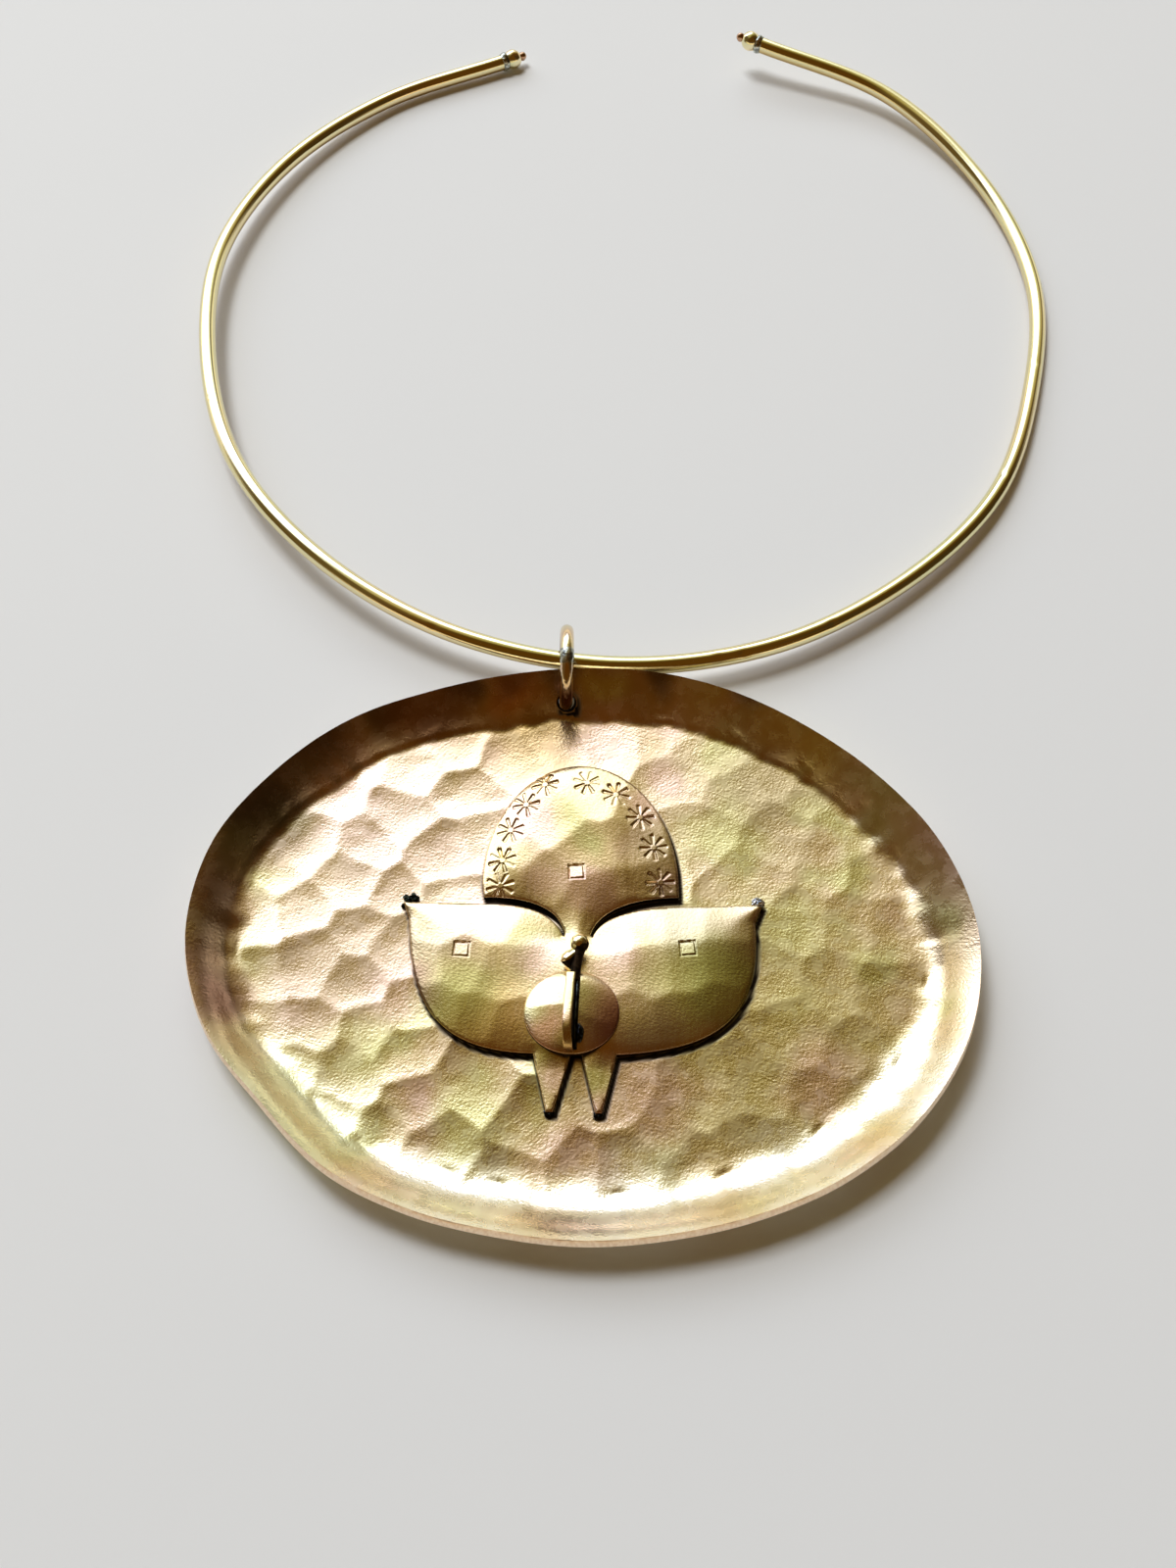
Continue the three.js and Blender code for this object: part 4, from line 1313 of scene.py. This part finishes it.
# %% Melted brass
GRIT_DEPTH = 0.03


def bead_finish(name, gold, rose, olive):
    """Brass that melted or was rubbed round, so it is smooth and bright."""
    finish, tree, shader = start_finish(name)
    tree.links.new(tarnish(tree, 0.5, gold, rose, olive), shader.inputs["Base Color"])
    raise_skin(tree, shader, noise(tree, in_millimetres(tree), 1.8, 2.0), GRIT_DEPTH)
    shader.inputs["Roughness"].default_value = 0.14
    return finish


bead_brass = bead_finish("bead_brass", (0.90, 0.80, 0.50), (0.88, 0.70, 0.42), (0.74, 0.72, 0.42))
tip_brass = bead_finish("tip_brass", (0.50, 0.31, 0.19), (0.46, 0.26, 0.16), (0.52, 0.38, 0.22))
print("finishes:", bead_brass.name, tip_brass.name)

# %% Head
HEAD = {
    "nape": (-0.95, -5.9, 4.75),
    "brow": (-0.6, -2.45, 5.3),
    "crest": (-0.4, -1.65, 5.2),
    "beak": (-2.7, -4.0, 5.0),
}
CREST_RADIUS = 1.22
NECK_SIDES = 24
NECK_STEPS = 26
BEAK_SECTION = [  # across, up
    (0.75, -0.5), (0.72, -0.05), (0.45, 0.28), (0.0, 0.52), (-0.35, 0.55),
    (-1.3, -0.15), (-2.1, -0.8), (-1.9, -1.2), (-0.3, -1.3), (0.5, -1.0),
]
BEAK_SIZE = {"along": [-0.25, 0.1, 0.5, 0.8, 1], "size": [0.35, 0.62, 1.05, 0.9, 0.12]}


def neck_shape():
    nape, crest = np.array(HEAD["nape"]), np.array(HEAD["crest"])
    share = np.linspace(-0.1, 1, NECK_STEPS)[:, None]
    path = nape + (crest - nape) * share
    radii = np.interp(share[:, 0], [-0.1, 0.3, 0.75, 1], [0.6, 0.66, 0.7, 0.6])
    return loft(rod_rings(path, radii, NECK_SIDES))


def beak_shape():
    """A wedge: a narrow bright top, and a long slope that falls to the south-east."""
    brow, tip = np.array(HEAD["brow"]), np.array(HEAD["beak"])
    along = (tip - brow) / np.linalg.norm(tip - brow)
    side = np.cross(along, [0, 0, 1.0])
    section_line = smooth_curve(BEAK_SECTION, 5, closed=True)
    rings = []
    for t in np.linspace(BEAK_SIZE["along"][0], 1, 26):
        middle = brow + (tip - brow) * t
        size = np.interp(t, BEAK_SIZE["along"], BEAK_SIZE["size"])
        rings.append(
            middle
            + section_line[:, :1] * size * side
            + section_line[:, 1:] * size * np.array([0, 0, 1.0])
        )
    return loft(rings)


def crest_shape():
    return blob_shape(HEAD["crest"], [CREST_RADIUS] * 3, 52, 0.04, 0.9)


head_shape = join_shapes([neck_shape(), beak_shape(), crest_shape()])
head = make_piece("peacock_head", head_shape, bead_brass)
# Painted shade: the beak's south-east slope and the neck rod are black.
paint_towards(head, painted_shade, (0.45, -0.9, 0.1), 0.55)
paint(head, painted_shade, range(CAP_ROWS * NECK_SIDES, (CAP_ROWS + NECK_STEPS - 1) * NECK_SIDES))

# %% [markdown]
# ## Solder
#
# Solder is greyer than brass, and lumpy where it is fed in. The bead at the left wing tip is
# nearly black, as overheated solder is; the one at the right wing tip is silvery. A base colour
# that changes over half a millimetre and a strong small bump give the crust.

# %% Solder finishes
def solder_finish(name, light_colour, dark_colour, roughness, crust_depth):
    finish, tree, shader = start_finish(name)
    crust = noise(tree, in_millimetres(tree), 1.5, 3.0, 0.4)
    colour = blend_colours(tree, ease(tree, crust, 0.40, 0.60), dark_colour, light_colour)
    tree.links.new(colour, shader.inputs["Base Color"])
    shader.inputs["Roughness"].default_value = roughness
    raise_skin(tree, shader, crust, crust_depth)
    return finish


silver_solder = solder_finish("silver_solder", (0.92, 0.93, 0.95), (0.30, 0.34, 0.40), 0.2, 0.3)
burnt_solder = solder_finish("burnt_solder", (0.20, 0.27, 0.22), (0.012, 0.016, 0.013), 0.3, 0.4)
black_solder = solder_finish("black_solder", (0.05, 0.06, 0.07), (0.01, 0.01, 0.012), 0.15, 0.05)
grey_solder = solder_finish("grey_solder", (0.62, 0.64, 0.58), (0.22, 0.23, 0.20), 0.25, 0.1)
print("finishes:", silver_solder.name, burnt_solder.name, black_solder.name, grey_solder.name)

# %% [markdown]
# The blobs sit where the sheet meets the dish: both wing tips, both feet, and one under the top
# of the fan that hardly shows, which is a guess. A black seam of solder runs along the foot of
# the strip, with a thicker drop near its south end; its black is partly painted shade, widening
# the dark band beside the strip.

# %% Solder blobs
def on_floor(x, y, height):
    return (x, y, PLATE_SHEET + height)


left_tip = [
    blob_shape(on_floor(-22.5, 6.1, 0.55), (0.48, 0.42, 0.5), 61, 0.4, 0.5),
    blob_shape(on_floor(-23.2, 6.3, 0.5), (0.34, 0.32, 0.4), 62, 0.45, 0.5),
    blob_shape(on_floor(-21.8, 6.25, 0.5), (0.36, 0.3, 0.42), 63, 0.45, 0.5),
    blob_shape(on_floor(-22.2, 6.7, 0.35), (0.3, 0.26, 0.34), 64, 0.45, 0.5),
    blob_shape(on_floor(-22.9, 5.6, 0.5), (0.5, 0.4, 0.6), 65, 0.3, 0.5),
    blob_shape(on_floor(-23.5, 5.2, 0.3), (0.25, 0.32, 0.4), 66, 0.3, 0.5),
]
make_piece("left_wing_solder", join_shapes(left_tip), burnt_solder)
right_tip = [
    blob_shape(on_floor(23.0, 5.3, 0.7), (0.78, 0.66, 0.8), 65, 0.22, 0.6),
    blob_shape(on_floor(22.7, 5.8, 0.45), (0.5, 0.4, 0.5), 66, 0.3, 0.5),
]
make_piece("right_wing_solder", join_shapes(right_tip), silver_solder)
feet = [
    blob_shape(on_floor(-4.1, -22.5, 0.3), (0.62, 0.5, 0.5), 67, 0.2, 0.6),
    blob_shape(on_floor(2.0, -22.8, 0.3), (0.66, 0.5, 0.5), 68, 0.2, 0.6),
]
make_piece("foot_solder", join_shapes(feet), black_solder)
tail = blob_shape(on_floor(-0.3, 24.4, 0.2), (0.8, 0.8, 0.7), 69)
make_piece("tail_solder", tail, grey_solder)
seam = [(-0.55, -5.2, 4.5), (-0.62, -6.6, 4.5), (-0.72, -8.5, 4.64), (-0.84, -10.5, 4.66)]
seam += [(-0.92, -12.5, 4.5), (-1.0, -14.0, 4.2), (-1.02, -15.2, 3.8)]
seam = loft(rod_rings(smooth_curve(seam, 8), 0.36, 16))
strip_bead = blob_shape((-0.42, -13.2, 4.2), (0.6, 1.25, 0.7), 70, 0.15, 0.7)
make_piece("strip_solder", join_shapes([seam, strip_bead]), black_solder)

# %% [markdown]
# ## Neck wire
# The wire looks drawn, bent round and burnished. Its bends are not even, so the route is given
# every 20 degrees round the neck, with its height above the table, and the smooth curve from
# above goes through it. Drawing a wire leaves fine lines along it, and wear leaves a few nicks:
# small real dents, each a dip with soft sides. The underside is painted browner, as painted
# shade.

# %% Drawn brass
DRAWN_DEPTH = 0.01
UNDERSIDE_PAINTED_SHADE = (0.62, 0.44, 0.18)

drawn, tree, shader = start_finish("drawn_brass")
grain = add_node(tree, "Attribute", attribute_name="grain").outputs["Vector"]
lines = add_node(tree, "Mapping", {"Vector": grain, "Scale": (0.05, 9.0, 9.0)}).outputs[0]
lines = noise(tree, lines, 1.0, 3.0)
pits = noise(tree, in_millimetres(tree), 1.6, 2.0)
marks = maths(tree, "ADD", lines, both(tree, pits, 0.5))
raise_skin(tree, shader, marks, DRAWN_DEPTH)
colour = tarnish(tree, 0.05, (0.84, 0.76, 0.44), (0.85, 0.72, 0.42), (0.78, 0.75, 0.40))
upward = add_node(tree, "SeparateXYZ", {0: grain}).outputs["Z"]
# Painted shade: the wire's lower half is blended towards brown.
colour = blend_colours(tree, ease(tree, upward, 0.30, -0.35), colour, UNDERSIDE_PAINTED_SHADE)
tree.links.new(colour, shader.inputs["Base Color"])
tree.links.new(ease(tree, lines, 0.3, 0.7, 0.05, 0.12), shader.inputs["Roughness"])
print("finish:", drawn.name)

# %% Build the neck wire
WIRE_RADIUS = 1.3
NECK_CENTRE = (6.3, 107.3)
WIRE_STEPS = 900
WIRE_SIDES = 36
MEAN_REACH = 66
WIRE_NICK_REACH = {"along": 0.6, "around": 0.5}
WIRE_ROUTE = [  # degrees round the neck, reach from its centre, height
    (108, 66.9, 1.75), (128, 67.3, 1.85), (148, 67.4, 3.1), (168, 67.2, 4.3),
    (188, 65.9, 4.85), (208, 66.3, 5.2), (228, 66.2, 5.45), (248, 66.6, 5.05),
    (268, 66.7, 4.25), (288, 66.1, 3.3), (308, 65.3, 2.5), (328, 65.8, 1.9),
    (348, 65.6, 1.45), (368, 68.2, 1.35), (388, 69.7, 1.9), (408, 70.4, 3.6),
    (428.5, 67.8, 5.75),
]
WIRE_NICKS = [  # degrees round the neck, degrees round the wire, depth
    (197, 60, 0.10), (246, 40, 0.07), (281, 70, 0.08), (284, 50, 0.10), (296, 60, 0.09),
    (331, 110, 0.10), (352, 95, 0.07),
]


def wire_path():
    points = []
    for turn, reach, lift in WIRE_ROUTE:
        angle = math.radians(turn)
        x = NECK_CENTRE[0] + reach * math.cos(angle)
        y = NECK_CENTRE[1] + reach * math.sin(angle)
        points.append((x, y, lift))
    curve = smooth_curve(points, 60)
    along = np.r_[0, np.cumsum(np.linalg.norm(np.diff(curve, axis=0), axis=1))]
    even = np.linspace(0, along[-1], WIRE_STEPS)
    return np.c_[[np.interp(even, along, curve[:, axis]) for axis in range(3)]].T, even


def wire_rings():
    path, along = wire_path()
    rings = rod_rings(path, WIRE_RADIUS, WIRE_SIDES)
    out = (rings - path[:, None]) / WIRE_RADIUS
    turn = np.degrees(np.arctan2(path[:, 1] - NECK_CENTRE[1], path[:, 0] - NECK_CENTRE[0])) % 360
    around = np.degrees(np.linspace(0, 2 * np.pi, WIRE_SIDES, endpoint=False))
    for nick_turn, nick_around, depth in WIRE_NICKS:
        apart = (turn - nick_turn) * math.pi / 180 * MEAN_REACH
        aside = (around - nick_around) * math.pi / 180 * WIRE_RADIUS
        long, wide = WIRE_NICK_REACH["along"], WIRE_NICK_REACH["around"]
        dip = depth * np.exp(-((apart[:, None] / long) ** 2) - (aside[None] / wide) ** 2)
        rings = rings - out * dip[..., None]
    around = np.linspace(0, 2 * np.pi, WIRE_SIDES, endpoint=False)
    grain = np.stack(
        np.broadcast_arrays(along[:, None], np.cos(around)[None], np.sin(around)[None]), axis=-1
    )
    return path, rings, grain


def mark_grain(piece, grain):
    values = np.zeros((len(piece.data.vertices), 3))
    values[: grain.reshape(-1, 3).shape[0]] = grain.reshape(-1, 3)
    attribute = piece.data.attributes.new("grain", "FLOAT_VECTOR", "POINT")
    attribute.data.foreach_set("vector", values.ravel())


path, rings, grain = wire_rings()
wire = make_piece("neck_wire_drawn", loft(rings), drawn)
mark_grain(wire, grain)
print("wire is", round(float(grain[-1, 0, 0]), 1), "mm long")

# %% [markdown]
# ## Finials
#
# Each end of the wire carries a collar of solder, a round bead and a small bead at the tip. All
# three are turned about the wire's own direction there: a profile of radius against distance
# past the wire's end, spun round, then swelled a little so that the solder looks fed by hand.

# %% Finials
# radius, distance past the wire's end
COLLAR = [(0.95, -0.8), (1.38, -0.55), (1.5, -0.25), (1.54, 0.1), (1.46, 0.42), (1.2, 0.62)]
BEAD = {"radius": 1.65, "centre": 1.6}
TIP_BEAD = {"radius": 0.75, "centre": 3.55}


def turned_shape(profile, end, outward, seed, uneven):
    """A profile of (radius, distance past the end) spun about the outward direction."""
    level = np.cross(outward, [0, 0, 1.0])
    level /= np.linalg.norm(level)
    upper = np.cross(level, outward)
    turn = np.linspace(0, 2 * np.pi, 40, endpoint=False)[:, None]
    rings = []
    for radius, past in profile:
        swell = 1 + uneven * slow_noise(np.cos(turn) * 1.5, np.sin(turn) * 1.5 + past, 0.8, seed)
        circle = np.cos(turn) * level + np.sin(turn) * upper
        rings.append(end + outward * past + radius * swell * circle)
    return loft(rings)


def ball_profile(radius, centre):
    angles = np.linspace(0.05, math.pi - 0.05, 24)
    return [(radius * math.sin(a), centre - radius * math.cos(a)) for a in angles]


for side, end, before, seed in (("left", path[0], path[4], 71), ("right", path[-1], path[-5], 75)):
    outward = (end - before) / np.linalg.norm(end - before)
    curve = np.array(COLLAR)
    corners = range(len(curve))
    fine = np.linspace(0, len(curve) - 1, 20)
    profile = np.c_[np.interp(fine, corners, curve[:, 0]), np.interp(fine, corners, curve[:, 1])]
    shape = turned_shape(profile, end, outward, seed, 0.09)
    make_piece(side + "_collar", shape, grey_solder)
    shape = turned_shape(ball_profile(**BEAD), end, outward, seed + 1, 0.03)
    make_piece(side + "_bead", shape, bead_brass)
    shape = turned_shape(ball_profile(**TIP_BEAD), end, outward, seed + 2, 0.06)
    make_piece(side + "_tip_bead", shape, tip_brass)

# %% [markdown]
# ## Jump ring
#
# The ring is a bent piece of wire, closed with solder. It hangs through the hole and round the
# neck wire, nearly upright. It is painted dark brown below, as painted shade where it reflects the
# dark rim, and plain brass at the top. Its joint is drawn as a small swelling near the top, in
# greyer metal.

# %% Jump ring
RING_RADIUS = 5.0
RING_WIRE_RADIUS = 0.925
RING_SWING = math.radians(46.4)
RING_LEAN = math.radians(2)
RING_STEPS = 160
RING_SIDES = 32
JOINT_TURN = 105.0
JOINT_SWELL = 0.07
RING_PAINTED_SHADE = (0.22, 0.12, 0.08)

shaded_ring_finish, tree, shader = start_finish("ring_brass_painted_shade")
colour = tarnish(tree, 0.35, (0.82, 0.68, 0.44), (0.80, 0.60, 0.42), (0.78, 0.68, 0.42))
level = add_node(tree, "SeparateXYZ", {0: in_millimetres(tree)}).outputs["Z"]
# Painted shade: below 10.6 mm height the ring turns dark brown.
colour = blend_colours(tree, ease(tree, level, 10.6, 7.2), colour, RING_PAINTED_SHADE)
tree.links.new(colour, shader.inputs["Base Color"])
raise_skin(tree, shader, noise(tree, in_millimetres(tree), 2.0, 3.0), GRIT_DEPTH)
shader.inputs["Roughness"].default_value = 0.13

ring_centre = hole_place + RING_RADIUS * np.array([0, math.cos(RING_SWING), math.sin(RING_SWING)])


def ring_point(turn):
    """A point of the ring's centre line, with the whole ring leaning a little."""
    y, z = RING_RADIUS * np.cos(turn), RING_RADIUS * np.sin(turn)
    return ring_centre + np.stack([z * math.sin(RING_LEAN), y, z * math.cos(RING_LEAN)], axis=-1)


def torus_shape():
    turn = np.linspace(0, 2 * np.pi, RING_STEPS, endpoint=False)
    centre_line = ring_point(turn)
    out = (centre_line - ring_centre) / RING_RADIUS
    side = np.array([math.cos(RING_LEAN), 0, -math.sin(RING_LEAN)])
    round_turn = np.linspace(0, 2 * np.pi, RING_SIDES, endpoint=False)
    cosine, sine = np.cos(round_turn)[None, :, None], np.sin(round_turn)[None, :, None]
    circle = cosine * out[:, None] + sine * side
    rings = centre_line[:, None] + RING_WIRE_RADIUS * circle
    count, around = rings.shape[:2]
    faces = []
    for row in range(count):
        below, above = row * around, (row + 1) % count * around
        for i in range(around):
            beside = (i + 1) % around
            faces.append((below + i, below + beside, above + beside, above + i))
    return rings.reshape(-1, 3), faces


jump_ring = make_piece("jump_ring_link", torus_shape(), shaded_ring_finish)
joint_turns = np.radians(np.linspace(JOINT_TURN - 11, JOINT_TURN + 11, 20))
swell = RING_WIRE_RADIUS + JOINT_SWELL * np.sin(np.linspace(0.02, math.pi - 0.02, 20))
joint = loft(rod_rings(ring_point(joint_turns), swell, RING_SIDES))
make_piece("jump_ring_joint", joint, grey_solder)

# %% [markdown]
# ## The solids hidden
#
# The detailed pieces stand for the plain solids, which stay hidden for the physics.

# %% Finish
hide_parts("neck_wire")
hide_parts("jump_ring")
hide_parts("plate_with_bird")
